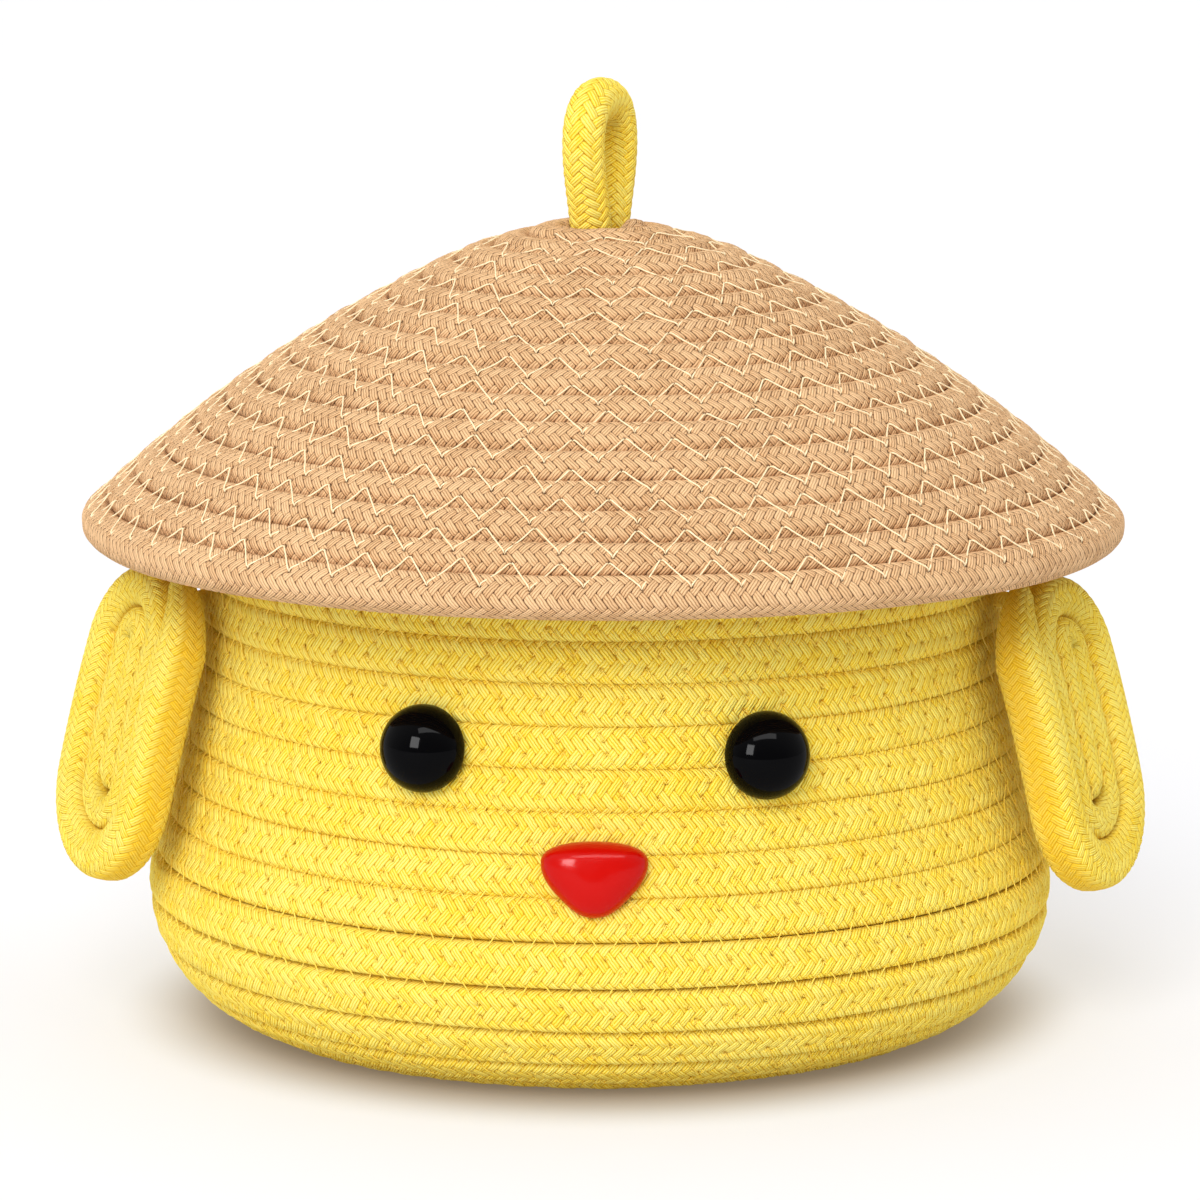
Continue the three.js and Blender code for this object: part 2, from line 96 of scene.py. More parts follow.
# Basket
BELLY_RADIUS = 106.0
BELLY_HEIGHT = 33.0
SHOULDER_LEAN = math.radians(18)
MOUTH_RADIUS = 92.5
FRONT_ROW_PHASE = 5.34  # length from the base's middle to the rope at the front, at turn 0
FLOOR_CUT = 0.5  # by which the base's rope is pressed flat
BASKET_END = 22.3
JOG = 0.75  # share of the climb that is moved from a turn's front to its back

# Lid
LID_ARC = 335.0
LID_TOP_SLOPE = math.radians(18.8)
LID_DIMPLE = 2.8  # depth of the hollow round the handle
DIMPLE_START = 6.0
DIMPLE_WIDTH = 28.0
SEAT_GAP = 0.3  # of air between two seated pieces
TURN_GAP = 0.5  # of air between the lid's turns in its solid

# Ends and middles of the coils
START_TAPER = 4.0
END_TIP = 0.25  # share of the rope's size at its very end
BARE_MIDDLE = 0.3  # radius that the base's coil leaves open
LEAST_WIDTH = 0.8  # of a turn that closes round the middle
SQUEEZED_TURNS = 2.2
SQUEEZED_THINNING = 0.12

# Handle
HANDLE_TURN = math.radians(68)
HANDLE_RISE = 41.0
HANDLE_SPREAD = 21.6
LEG_BEND = 6.5
LEG_TAIL = 13.0
LEG_CLEARANCE = 0.35
LEG_PRESS = 0.2  # by which the lid's first turns press into the legs
TAIL_GAP = 0.2  # of air between the lid and the handle's ends under it
CROWN_POWER = 0.87
HANDLE_TAPER = 5.0

# Wings
WING_CORE = 17.0
WING_INNER_END = 2.2  # length of rope before a wing's first bend
WING_FACING = math.radians(29)
WING_SITE = math.radians(16)
WING_LEAN = math.radians(15.2)
WING_HEIGHT = 79.0
WING_STAND_OFF = 0.4
WING_DOME = 2.4  # how far a wing's middle swells out
DOME_MARGIN = 6.0
RIGHT_WING_SHIFT = (0.5, 0.0, -2.5)
WING_END = math.radians(60)
WING_TIP = 0.35

# Tacks
TACK_TURNS = 9
TACK_STEPS = 16  # in a turn
TACK_THREAD = 0.8
TACK_SIZE = (2.2, 0.5, 1.6)  # how far its turns reach out, back and up
TACK_MARGIN = 2.5
TACK_SHIFT = (0.6, -0.7)  # out and up, from the middle of its solid
TACK_RUN = 0.9  # share of its run to the front that is kept

# Eyes, nose and washers
EYE_DIAMETER = 20.4
EYE_DEPTH = 11.0
EYE_WIDEST = 2.6  # height of the widest ring over the eye's back
EYE_FOOT = 8.8  # radius of the eye's back
EYE_SPAN = 73.0
EYE_SHIFT = -1.1
EYE_HEIGHT = 81.0
EYE_DROP = 0.7  # of the right eye, and rise of the left one
NOSE_WIDTH = 24.3
NOSE_HEIGHT = 17.5
NOSE_DEPTH = 7.5
NOSE_CENTRE_HEIGHT = 56.5
NOSE_SHIFT = -1.2
NOSE_TOP = 0.32  # share of the nose's height over its seat
NOSE_EDGE = 1.3
NOSE_POINT_STEP = 0.7
# Curves of the nose's right half: shares of half its width and of its height over or under the seat
NOSE_CURVES = (
    ((0, -1), (0.32, -1), (0.5, -0.79), (0.77, -0.49)),
    ((0.77, -0.49), (0.94, -0.3), (1.04, -0.06), (1, 0.3)),
    ((1, 0.28), (0.94, 0.8), (0.5, 1), (0, 1)),
)
PRESSED_IN = 0.4  # depth of an eye's or the nose's back in the rope
POST = 2.5
POST_LENGTH = 6.5  # behind the washer's face
POST_CHAMFER = 0.5
LATHE_SIDES = 96

# Stitches
WING_STITCH = 6.4  # length of one zigzag
WING_REACH = 1.0  # from the groove to a needle hole
BODY_THREAD = 0.32
COIL_SAG = (0.3, 0.35)  # of a stitch between its holes, and what every second one adds
WING_SAG = (0.6, 0.3)
STITCH_SEED = 40  # added to a coil's seed for its stitches
LAST_STITCH = 1.03  # turns before the rope's end at which the zigzag stops
WING_LAST_STITCH = 12.0  # length before a wing's end
WING_STITCH_HEIGHT = 0.86  # share of half the wing's thickness
HOLE_RADIUS = 0.55
HOLE_DEPTH = 0.9
DENT_RADIUS = 2.2  # of the dent that a tight stitch pulls round its hole
DENT_DEPTH = 0.3
THREAD_SIDES = 6
# A stitch's course: share of the way from hole to hole, and height over the rope in thread diameters
STITCH_COURSE = np.array([(0, -2.6), (0.05, -0.3), (0.13, 0.32), (0.3, 0.3),
                          (0.5, 0.3), (0.7, 0.3), (0.87, 0.32), (0.95, -0.3)])

HALF = COIL_THICKNESS / 2
BASE_HEIGHT = HALF - FLOOR_CUT
BELLY_ARC = BELLY_HEIGHT - BASE_HEIGHT
FLAT_RADIUS = BELLY_RADIUS - BELLY_ARC
SHOULDER_RADIUS = FLAT_RADIUS + BELLY_ARC * math.cos(SHOULDER_LEAN)
SHOULDER_HEIGHT = BELLY_HEIGHT + BELLY_ARC * math.sin(SHOULDER_LEAN)
UPPER_ARC = (SHOULDER_RADIUS - MOUTH_RADIUS) / (1 - math.cos(SHOULDER_LEAN))
BELLY_END = FLAT_RADIUS + BELLY_ARC * (math.pi / 2 + SHOULDER_LEAN)
UPPER_END = BELLY_END + UPPER_ARC * SHOULDER_LEAN
WING_OUTER = 1.5 * WING_PITCH + WING_BORDER / 2  # centre line of a wing's last turn, beside the core
WASHER_FACE = -HALF - SEAT_GAP
SEAT_BACK = HALF - PRESSED_IN


def add_object(name, data):
    thing = bpy.data.objects.new(name, data)
    bpy.context.scene.collection.objects.link(thing)
    return thing


def ease(f):
    return f * f * (3 - 2 * f)


def smoothstep(low, high, x):
    return ease(np.clip((x - low) / (high - low), 0, 1))


def run_along(line):
    """The distance of each point of a line from its first point, along the line."""
    return np.concatenate([[0], np.cumsum(np.linalg.norm(np.diff(line, axis=0), axis=1))])


def even_distances(length, step):
    return np.linspace(0, length, max(2, round(length / step)) + 1)


def signed_power(x, power):
    return np.sign(x) * np.abs(x) ** power


def unit(vectors):
    return vectors / np.linalg.norm(vectors, axis=-1, keepdims=True)


def climb(t):
    """Turns climbed after t turns: level at the front, climbing behind."""
    return t - JOG * np.sin(FULL_TURN * t) / FULL_TURN


def wall_lean(height):
    """Lean of the wall's upper part at a height."""
    return math.asin(max(math.sin(SHOULDER_LEAN) - (height - SHOULDER_HEIGHT) / UPPER_ARC, 0))


def wall_radius(lean):
    """Radius of the wall's upper part where it has that lean."""
    return SHOULDER_RADIUS - UPPER_ARC * (np.cos(lean) - math.cos(SHOULDER_LEAN))


def wall_profile(s):
    """Radius, height and lean of the basket's wall at lengths s from the middle of the base."""
    s = np.asarray(s, float)
    belly_lean = -np.pi / 2 + (s - FLAT_RADIUS) / BELLY_ARC
    upper_lean = SHOULDER_LEAN - (s - BELLY_END) / UPPER_ARC
    where = [s < FLAT_RADIUS, s < BELLY_END, s < UPPER_END]
    lean = np.select(where, [-np.pi / 2, belly_lean, upper_lean], 0.0)
    upper_z = SHOULDER_HEIGHT + UPPER_ARC * (math.sin(SHOULDER_LEAN) - np.sin(upper_lean))
    belly_r = FLAT_RADIUS + BELLY_ARC * np.cos(belly_lean)
    belly_z = BELLY_HEIGHT + BELLY_ARC * np.sin(belly_lean)
    top = SHOULDER_HEIGHT + UPPER_ARC * math.sin(SHOULDER_LEAN)
    r = np.select(where, [s, belly_r, wall_radius(upper_lean)], MOUTH_RADIUS)
    z = np.select(where, [BASE_HEIGHT, belly_z, upper_z], top + s - UPPER_END)
    return r, z, lean


RIM_RADIUS, RIM_HEIGHT, _ = wall_profile(FRONT_ROW_PHASE + WALL_PITCH * climb(BASKET_END))
ARC_CENTRE_RADIUS = -LID_ARC * math.sin(LID_TOP_SLOPE)
SEAT_RADIUS = LID_ARC - COIL_THICKNESS - SEAT_GAP
ARC_CENTRE_HEIGHT = RIM_HEIGHT - math.sqrt(SEAT_RADIUS ** 2 - (RIM_RADIUS - ARC_CENTRE_RADIUS) ** 2)


def lid_profile(s):
    """Radius, height and lean of the lid at lengths s from its middle."""
    s = np.asarray(s, float)
    slope = LID_TOP_SLOPE + s / LID_ARC
    f = np.clip((s - DIMPLE_START) / DIMPLE_WIDTH, 0, 1)
    r = ARC_CENTRE_RADIUS + LID_ARC * np.sin(slope)
    z = ARC_CENTRE_HEIGHT + LID_ARC * np.cos(slope) - LID_DIMPLE * (1 - ease(f))
    return r, z, np.pi / 2 - slope + LID_DIMPLE * 6 * f * (1 - f) / DIMPLE_WIDTH


class Coil:
    """A rope wound in turns along a profile, from the length first. t counts turns from the front."""

    def __init__(self, profile, first, pitch, hand, start, end, upward):
        self.profile, self.first, self.pitch, self.hand = profile, first, pitch, hand
        self.start, self.end, self.upward = start, end, upward

    def length(self, t):
        return self.first + self.pitch * climb(t)

    def angle(self, t):
        return -np.pi / 2 + self.hand * FULL_TURN * t

    def frame_at(self, t):
        """Centre, direction to the next turn and direction out, at t turns."""
        r, z, lean = (values[..., None] for values in self.profile(self.length(t)))
        angle = self.angle(t)
        radial = np.stack([np.cos(angle), np.sin(angle), 0 * angle], -1)
        centre = radial * r + UP * z
        out = radial * np.cos(lean) + UP * np.sin(lean)
        across = radial * -np.sin(lean) + UP * np.cos(lean)
        return centre, across * self.upward, out

    def even_steps(self, step, start, end):
        """Values of t at even distances along the rope, and those distances."""
        t = np.linspace(start, end, COIL_SAMPLES)
        run = run_along(self.frame_at(t)[0])
        distance = even_distances(run[-1], step)
        return np.interp(distance, run, t), distance


def smooth_noise(distance, wavelength, seed):
    """Smooth values between -1 and 1 along a length."""
    knots = np.random.default_rng(seed).uniform(-1, 1, int(distance[-1] / wavelength) + 3)
    x = distance / wavelength
    i = x.astype(int)
    f = ease(x - i)
    return knots[i] * (1 - f) + knots[i + 1] * f


def unevenness(distance, seed, *waves):
    """The sum of waves along a length, each given by its amount, wavelength and number."""
    return sum(amount * smooth_noise(distance, size, seed + number) for amount, size, number in waves)


def rope_section(wide, thick, squareness, steps):
    """Points round a rope's section, their normals and the share of the way round of each.

    x runs towards the next turn and y out. steps are the distances between points that face out, in and
    sideways.
    """
    phi = np.linspace(-np.pi / 2, 1.5 * np.pi, 2 * SECTION_SAMPLES - 1)
    x = wide / 2 * signed_power(np.cos(phi), 2 / squareness)
    y = thick / 2 * signed_power(np.sin(phi), 2 / squareness)
    run = run_along(np.column_stack([x, y]))
    even = np.linspace(0, run[-1], SECTION_SAMPLES)
    x, y = np.interp(even, run, x), np.interp(even, run, y)
    nx, ny = unit(np.column_stack([np.gradient(y), -np.gradient(x)])).T
    face, back, flank = steps
    per_mm = np.where(ny > 0.15, 1 / face, np.where(ny < -0.3, 1 / back, 1 / flank))
    count = np.concatenate([[0], np.cumsum((per_mm[1:] + per_mm[:-1]) / 2 * np.diff(even))])
    at = np.interp(np.linspace(0, count[-1], round(count[-1]) + 1)[:-1], count, even)
    return *(np.interp(at, even, values) for values in (x, y, nx, ny)), at / run[-1]


def braid_height(a, b):
    """Height of a braid's surface, 0 to 1, at strand coordinates a and b."""
    i, j = np.floor(a), np.floor(b)
    first_over = (i - j) % BRAID_REPEAT < FLOAT_STRANDS - 0.5
    across = np.where(first_over, a - i, b - j)
    along = np.where(first_over, (b - i + 1) % BRAID_REPEAT, (a - j - 2) % BRAID_REPEAT) / FLOAT_STRANDS
    crown = np.sqrt(np.clip(1 - (2 * across - 1) ** 2, 0, 1))
    dive = np.sqrt(np.clip(np.sin(np.pi * along), 0, 1))
    return crown * (DIVE_LEVEL + (1 - DIVE_LEVEL) * dive)


def grid_normals(points):
    along = np.gradient(points, axis=0)
    around = (np.roll(points, -1, 1) - np.roll(points, 1, 1)) / 2
    normal = np.cross(around, along)
    return normal / np.maximum(np.linalg.norm(normal, axis=2, keepdims=True), 1e-9)


def outward_normals(points, middle):
    """The normals at a tube's points, facing away from its middle."""
    normals = grid_normals(points)
    return normals if np.einsum("ijk,ijk->", normals, points - middle) > 0 else -normals


def bake_map(rings, sides, strips):
    """Corners of a tube's faces and caps on a map that is cut into strips."""
    margin, cap_radius, cap_places = 0.06, 0.012, ([0.03, 0.98], [0.08, 0.98])
    tall = 0.95 / strips
    per_strip = (rings - 1) / strips
    ring = np.arange(rings - 1)
    strip = np.minimum((ring / per_strip).astype(int), strips - 1)
    step = 0.99 / math.ceil(per_strip)
    start = 0.005 + step * (ring - np.ceil(strip * per_strip))
    v = (strip[:, None] + margin + (1 - 2 * margin) * np.linspace(0, 1, sides + 1)[None]) * tall
    low, high = v[:, :-1], v[:, 1:]
    left, right = (np.broadcast_to(u[:, None], low.shape) for u in (start, start + step))
    pairs = (left, low), (left, high), (right, high), (right, low)
    faces = np.stack([np.stack(pair, -1) for pair in pairs], -2)
    circle = np.linspace(0, FULL_TURN, sides, endpoint=False)
    dot = cap_radius * np.column_stack([np.cos(circle), np.sin(circle)])
    return faces, np.concatenate([dot + place for place in cap_places])


def sweep(name, points, strips, braid=None, values=None, normals=None):
    """A closed tube mesh through rings of points, in mm.

    strips is the number of strips in the tube's own map. braid holds strand coordinates, with one column
    more than there are points round a ring. values are named numbers for each point.
    """
    rings, sides, _ = points.shape
    mesh = bpy.data.meshes.new(name)
    quads = (rings - 1) * sides
    mesh.vertices.add(rings * sides)
    mesh.vertices.foreach_set("co", (points * MM).astype(np.float32).ravel())
    i, j = np.meshgrid(np.arange(rings - 1), np.arange(sides), indexing="ij")
    k = (j + 1) % sides
    corners = np.stack([i * sides + j, i * sides + k, (i + 1) * sides + k, (i + 1) * sides + j], -1)
    flip = normals is not None and np.einsum("ijk,ijk->", normals, grid_normals(points)) < 0
    if flip:
        corners = corners[..., ::-1]
    first, last = np.arange(sides), (rings - 1) * sides + np.arange(sides)
    caps = [first, last[::-1]] if flip else [first[::-1], last]
    loops = np.concatenate([corners.ravel(), *caps])
    mesh.loops.add(len(loops))
    mesh.loops.foreach_set("vertex_index", loops.astype(np.int32))
    mesh.polygons.add(quads + 2)
    starts = np.concatenate([np.arange(quads) * 4, [quads * 4, quads * 4 + sides]])
    mesh.polygons.foreach_set("loop_start", starts.astype(np.int32))
    mesh.update(calc_edges=True)

    def add_map(title, faces, ends):
        if flip:
            faces = faces[..., ::-1, :]
        layer = mesh.uv_layers.new(name=title)
        places = np.concatenate([faces.reshape(-1, 2), ends]).astype(np.float32)
        layer.uv.foreach_set("vector", places.ravel())

    add_map("OFBake", *bake_map(rings, sides, strips))
    if braid is not None:
        faces = np.stack([braid[i, j], braid[i, j + 1], braid[i + 1, j + 1], braid[i + 1, j]], -2)
        add_map("Braid", faces, np.repeat(braid[[0, -1], 0], sides, 0))
    for title, numbers in (values or {}).items():
        attribute = mesh.attributes.new(title, "FLOAT", "POINT")
        attribute.data.foreach_set("value", numbers.astype(np.float32).ravel())
    mesh.shade_smooth()
    mesh.validate()
    if normals is not None:
        mesh.normals_split_custom_set_from_vertices(normals.reshape(-1, 3))
    return add_object(name, mesh)


class Rope:
    """The surface of a rope along a path: rings of points, strand coordinates, holes and painted shade on
    its flanks.

    scale, shift and free are columns of numbers, one for each ring, or two in scale: width and thickness.
    shade is painted shade that darkens the flanks, where turns lie against each other.
    """

    def __init__(self, path, distance, section, seed, scale, shift=0.0, free=0.0, holes=None, relief=1.0,
                 strands=STRANDS, step=STRAND_STEP, turning=0.5, shade=0.0):
        centre, across, out = path
        x, y, nx, ny, share = section
        twist = unevenness(distance, seed, (turning, *LONG_TWIST), SHORT_TWIST)[:, None]
        stretch = unevenness(distance, seed, *STRETCH_WAVES)
        around = np.concatenate([share, [1.0]])[None] * strands
        forward = ((distance + stretch) / step)[:, None]
        self.braid = np.stack([forward + around + twist, forward - around - twist], -1)
        height = braid_height(self.braid[:, :-1, 0], self.braid[:, :-1, 1])
        facing = smoothstep(0.05, 0.45, np.abs(ny))[None]
        size = scale * (1 + unevenness(distance, seed, SIZE_WAVE))[:, None]
        wide, thick = size[:, :1], size[:, -1:]
        sway = unevenness(distance, seed, *SWAY_WAVES)[:, None]
        none = np.zeros((len(distance), len(x)))
        self.hole, dent = holes(x) if holes else (none, none)
        lift = relief * STRAND_RELIEF * (height - STRAND_LEVEL) * facing * np.minimum(thick, 1)
        lift = lift - (HOLE_DEPTH * self.hole + DENT_DEPTH * dent) * smoothstep(0.2, 0.6, ny)[None]
        across_by = x * wide + nx * lift + shift
        out_by = y * thick + ny * lift + sway
        out_by = out_by * (1 - FREE_SIDE * free * np.clip(x / x.max(), 0, 1)[None] ** 2)
        self.points = (centre[:, None] + across[:, None] * across_by[..., None]
                       + out[:, None] * out_by[..., None])
        self.points[..., 2] = np.maximum(self.points[..., 2], 0.0)
        self.normals = outward_normals(self.points, self.points.mean(axis=1, keepdims=True))
        # painted shade on the flanks, where turns lie against each other
        flank = shade * (1 - smoothstep(0.1, 0.75, np.abs(ny)))
        self.flank = np.broadcast_to(flank, self.hole.shape)

    def piece(self, name, strips, first=0, last=None):
        """A piece of the rope, from one ring to another."""
        part = slice(first, None if last is None else last + 1)
        values = {"hole": self.hole[part], "flank": self.flank[part]}
        return sweep(name, self.points[part], strips, self.braid[part], values, self.normals[part])


def drawn_in(distance, length, tip):
    """A rope's size near one of its ends, at distances from that end."""
    return tip + (1 - tip) * np.sqrt(np.clip(distance / length, 0, 1))


def tapered(distance, start_length, end_length, tip):
    """A rope's size along its length, with its two ends drawn in."""
    return drawn_in(distance, start_length, tip) * drawn_in(distance[-1] - distance, end_length, tip)


def hole_and_dent(squared_distance):
    return np.exp(-squared_distance / HOLE_RADIUS ** 2), np.exp(-squared_distance / DENT_RADIUS ** 2)


class Zigzag:
    """Stitches along the groove between a coil's turns, with their holes on alternate sides."""

    def __init__(self, coil, period, seed, squareness, start, reach):
        self.coil, self.squareness = coil, squareness
        self.run_t, self.run = coil.even_steps(2.0, start, coil.end - LAST_STITCH)
        chance = np.random.default_rng(seed)
        count = int(self.run[-1] / period * 2)
        at = (np.arange(count) + 0.5) * period / 2 + chance.normal(0, 0.35, count)
        self.at = np.clip(at, 0, self.run[-1])
        self.t = np.interp(self.at, self.run, self.run_t)
        self.reach = np.where(np.arange(count) % 2, reach[1], reach[0]) + chance.normal(0, 0.3, count)

    def squared_gap(self, turns, parity, x):
        """Squared distance to the nearest even or odd hole from points at x across the rope."""
        where = np.interp(turns, self.run_t, self.run, left=-99, right=1e6)
        holes = np.arange(parity, len(self.at), 2)
        k = np.clip(np.searchsorted(self.at[holes], where), 1, len(holes) - 1)
        before, after = holes[k - 1], holes[k]
        k = np.where(where - self.at[before] < self.at[after] - where, before, after)
        side = (self.coil.pitch / 2 - self.reach[k]) * (1 if parity else -1)
        return ((where - self.at[k]) ** 2)[:, None] + (x[None] + side[:, None]) ** 2

    def holes(self, t, x):
        """The depth of the holes and of the dents at turns t and at points x across the rope."""
        return hole_and_dent(np.minimum(self.squared_gap(t, 0, x), self.squared_gap(t - 1, 1, x)))

    def ends(self):
        """Where the thread goes in and out of the rope, and the way out there."""
        half = self.coil.pitch / 2
        odd = np.arange(len(self.t)) % 2
        centre, across, out = self.coil.frame_at(self.t + odd)
        x = (half - self.reach) * np.where(odd, -1, 1)
        height = HALF * (1 - np.abs(x / half) ** self.squareness) ** (1 / self.squareness)
        return centre + across * x[:, None] + out * height[:, None], out


def tube_rings(line, way, diameter):
    """Rings of points round a thread's line. way is roughly square to it."""
    along = unit(np.gradient(line, axis=0))
    side = np.cross(along, way)
    side /= np.maximum(np.linalg.norm(side, axis=1, keepdims=True), 1e-6)
    up = np.cross(side, along)
    angle = np.linspace(0, FULL_TURN, THREAD_SIDES, endpoint=False)[:, None]
    ring = side[:, None] * np.cos(angle) + up[:, None] * np.sin(angle)
    return line[:, None] + ring * diameter / 2


def thread_through(name, ends, out, diameter, sags, strips):
    """A thread that dives into a hole at each end and bridges to the next, every second time lower."""
    share, lift = STITCH_COURSE.T[..., None]
    sag, extra = sags
    sunk = sag + extra * (np.arange(len(ends) - 1) % 2)
    bow = -4 * share * (1 - share) * sunk[:, None, None]
    start, end = ends[:-1, None], ends[1:, None]
    way = unit(out[:-1, None] * (1 - share) + out[1:, None] * share)
    line = start + (end - start) * share + way * (diameter * lift + bow)
    line, way = line.reshape(-1, 3), way.reshape(-1, 3)
    line[:, 2] = np.maximum(line[:, 2], diameter / 2)
    return sweep(name, tube_rings(line, way, diameter), strips)


# Materials
class Shader:
    """The nodes of a material or a world, wired by short calls."""

    def __init__(self, owner):
        self.owner = owner
        owner.use_nodes = True
        self.nodes = owner.node_tree.nodes
        self.links = owner.node_tree.links
        self.surface = self.nodes.get("Principled BSDF")

    def fill(self, node, *in_order, **values):
        """Set or link a node's inputs, in order, where None skips one, or by name, with _ for a space."""
        named = {key.replace("_", " "): value for key, value in values.items()}
        for key, value in {**dict(enumerate(in_order)), **named}.items():
            if isinstance(value, bpy.types.NodeSocket):
                self.links.new(value, node.inputs[key])
            elif value is not None:
                node.inputs[key].default_value = value
        return node

    def node(self, kind, settings=None, *in_order, **values):
        node = self.nodes.new("ShaderNode" + kind)
        for key, value in (settings or {}).items():
            setattr(node, key, value)
        return self.fill(node, *in_order, **values)

    def math(self, operation, *values):
        return self.node("Math", {"operation": operation}, *values).outputs[0]

    def minus(self, first, second):
        return self.math("SUBTRACT", first, second)

    def times(self, first, second):
        return self.math("MULTIPLY", first, second)

    def total(self, *values):
        return functools.reduce(lambda first, second: self.math("ADD", first, second), values)

    def swing(self, value, amount):
        """A value round a half, brought round nought and scaled."""
        return self.times(self.minus(value, 0.5), amount)

    def root(self, value):
        return self.math("SQRT", self.math("MAXIMUM", value, 0.0))

    def sine(self, half_turns):
        return self.math("SINE", self.times(half_turns, math.pi))

    def choose(self, factor, low, high):
        """low where factor is 0, high where it is 1."""
        return self.total(low, self.times(factor, self.minus(high, low)))

    def span(self, value, from_low, from_high, to_low=0.0, to_high=1.0):
        smooth = {"interpolation_type": "SMOOTHSTEP"}
        return self.node("MapRange", smooth, value, from_low, from_high, to_low, to_high).outputs[0]

    def mix(self, factor, low, high):
        """A mix of two colours, which are inputs 6 and 7 and output 2 of the node."""
        return self.node("Mix", {"data_type": "RGBA"}, factor, *[None] * 5, low, high).outputs[2]

    def attribute(self, name):
        return self.node("Attribute", {"attribute_name": name}).outputs["Fac"]

    def noise(self, scale, detail=2.0, roughness=0.5, vector=None):
        vector = vector or self.node("TexCoord").outputs["Object"]
        node = self.node("TexNoise", Scale=scale, Detail=detail, Roughness=roughness, Vector=vector)
        return node.outputs["Fac"]

    def bump(self, strength, distance, height):
        node = self.node("Bump", Strength=strength, Distance=distance, Height=height)
        self.fill(self.surface, Normal=node.outputs[0])


def linear(colour):
    """A colour given as it looks on a screen, 0 to 255, as the shader needs it."""
    shares = [value / 255 for value in colour]
    return (*(c / 12.92 if c <= 0.04045 else ((c + 0.055) / 1.055) ** 2.4 for c in shares), 1.0)


YARNS = 3.0  # in a strand
YARN_SHARPNESS = 0.8
FIBRE_SCALE = 3200.0  # noise scales are in waves a metre
WOBBLE_SCALE = 900.0
CLOUD_SCALE = 55.0
STREAKS = (14.0, 3.0, 50.0)  # across a strand, along it, and from strand to strand
STRAND_KEY = 5000.5  # keeps the numbers of the two families of strands apart
FINE_NOISE = (2.0, 0.6)  # detail and roughness


def rope_material(name, light, middle, dark, deep, painted_crevice_shade, holes):
    """Braided cotton of light, middle and dark tones, with painted light on the crowns of strands and
    yarns, and painted shade: a deep tone between strands, at strand ends and in needle holes, and the
    dark tone on the flanks.
    """
    s = Shader(bpy.data.materials.new(name))
    light, middle, dark, deep = (linear(colour) for colour in (light, middle, dark, deep))
    braid = s.node("UVMap", {"uv_map": "Braid"})
    a, b, _ = s.node("SeparateXYZ", None, braid.outputs[0]).outputs
    i, j = s.math("FLOOR", a), s.math("FLOOR", b)
    repeat = s.math("FLOORED_MODULO", s.minus(i, j), BRAID_REPEAT)
    over = s.math("LESS_THAN", repeat, FLOAT_STRANDS - 0.5)
    across = s.choose(over, s.minus(b, j), s.minus(a, i))
    run = s.choose(over, s.minus(s.minus(a, j), 2.0), s.total(s.minus(b, i), 1.0))
    along = s.math("DIVIDE", s.math("FLOORED_MODULO", run, BRAID_REPEAT), FLOAT_STRANDS)
    strand = s.choose(over, s.total(j, STRAND_KEY), i)
    float_number = s.math("FLOOR", s.math("DIVIDE", run, BRAID_REPEAT))
    which = s.node("CombineXYZ", None, strand, float_number)
    chance = s.node("TexWhiteNoise", {"noise_dimensions": "2D"}, Vector=which.outputs[0]).outputs[0]

    off_middle = s.minus(s.times(across, 2.0), 1.0)
    crown = s.root(s.minus(1.0, s.times(off_middle, off_middle)))
    dive = s.root(s.sine(along))
    body = s.times(crown, s.choose(dive, DIVE_LEVEL, 1.0))
    wobble = s.swing(s.noise(WOBBLE_SCALE, 1.0), 0.5)
    yarn = s.math("ABSOLUTE", s.sine(s.total(s.times(across, YARNS), wobble)))
    yarn = s.math("POWER", yarn, YARN_SHARPNESS)
    streak_at = (s.times(value, number) for value, number in zip((across, along, chance), STREAKS))
    streak = s.noise(1.0, *FINE_NOISE, s.node("CombineXYZ", None, *streak_at).outputs[0])
    fibre = s.noise(FIBRE_SCALE, *FINE_NOISE)
    height = s.total(
        s.times(body, 0.4),
        s.times(s.times(yarn, body), 0.5),
        s.times(streak, 0.16),
        s.times(fibre, 0.12))

    # tone: random strand, cloud, streak and fibre variation, plus painted light on the crowns of yarns
    # and strands
    tone = s.total(
        s.times(yarn, 0.6),
        s.times(body, 0.22),
        s.swing(chance, 0.22),
        s.swing(s.noise(CLOUD_SCALE, 3.0), 0.35),
        s.swing(streak, 0.5),
        s.swing(fibre, 0.25))
    colour = s.mix(s.span(tone, 0.08, 0.42), dark, middle)
    colour = s.mix(s.span(tone, 0.42, 0.85), colour, light)
    # painted shade: the deep tone in the crevices between strands
    colour = s.mix(s.times(s.span(body, 0.04, 0.46, 1.0, 0.0), painted_crevice_shade), colour, deep)
    # painted shade of the deep tone where a strand dives under another
    painted_strand_end_shade = s.times(s.span(crown, 0.3, 0.9, 1.0, 0.0), s.span(dive, 0.2, 0.7, 1.0, 0.0))
    colour = s.mix(painted_strand_end_shade, colour, deep)
    # painted shade of the deep tone in the needle holes, holes sets its strength
    colour = s.mix(s.span(s.attribute("hole"), 0.2, 0.75, 0.0, holes), colour, deep)
    # painted shade of the dark tone on the flanks
    colour = s.mix(s.attribute("flank"), colour, dark)
    s.fill(s.surface, Base_Color=colour, Roughness=s.span(body, 0.0, 1.0, 1.0, 0.86),
           Specular_IOR_Level=0.15, Sheen_Weight=0.2, Sheen_Roughness=0.5, Sheen_Tint=light)
    s.bump(1.0, 0.0005, height)
    return s.owner


def thread_material(name, light, dark):
    """Sewing thread, slightly shiny."""
    s = Shader(bpy.data.materials.new(name))
    grain = s.noise(2200.0, *FINE_NOISE)
    colour = s.mix(s.span(grain, 0.3, 0.7), linear(dark), linear(light))
    s.fill(s.surface, Base_Color=colour, Roughness=0.6)
    s.bump(0.5, 0.0001, grain)
    return s.owner


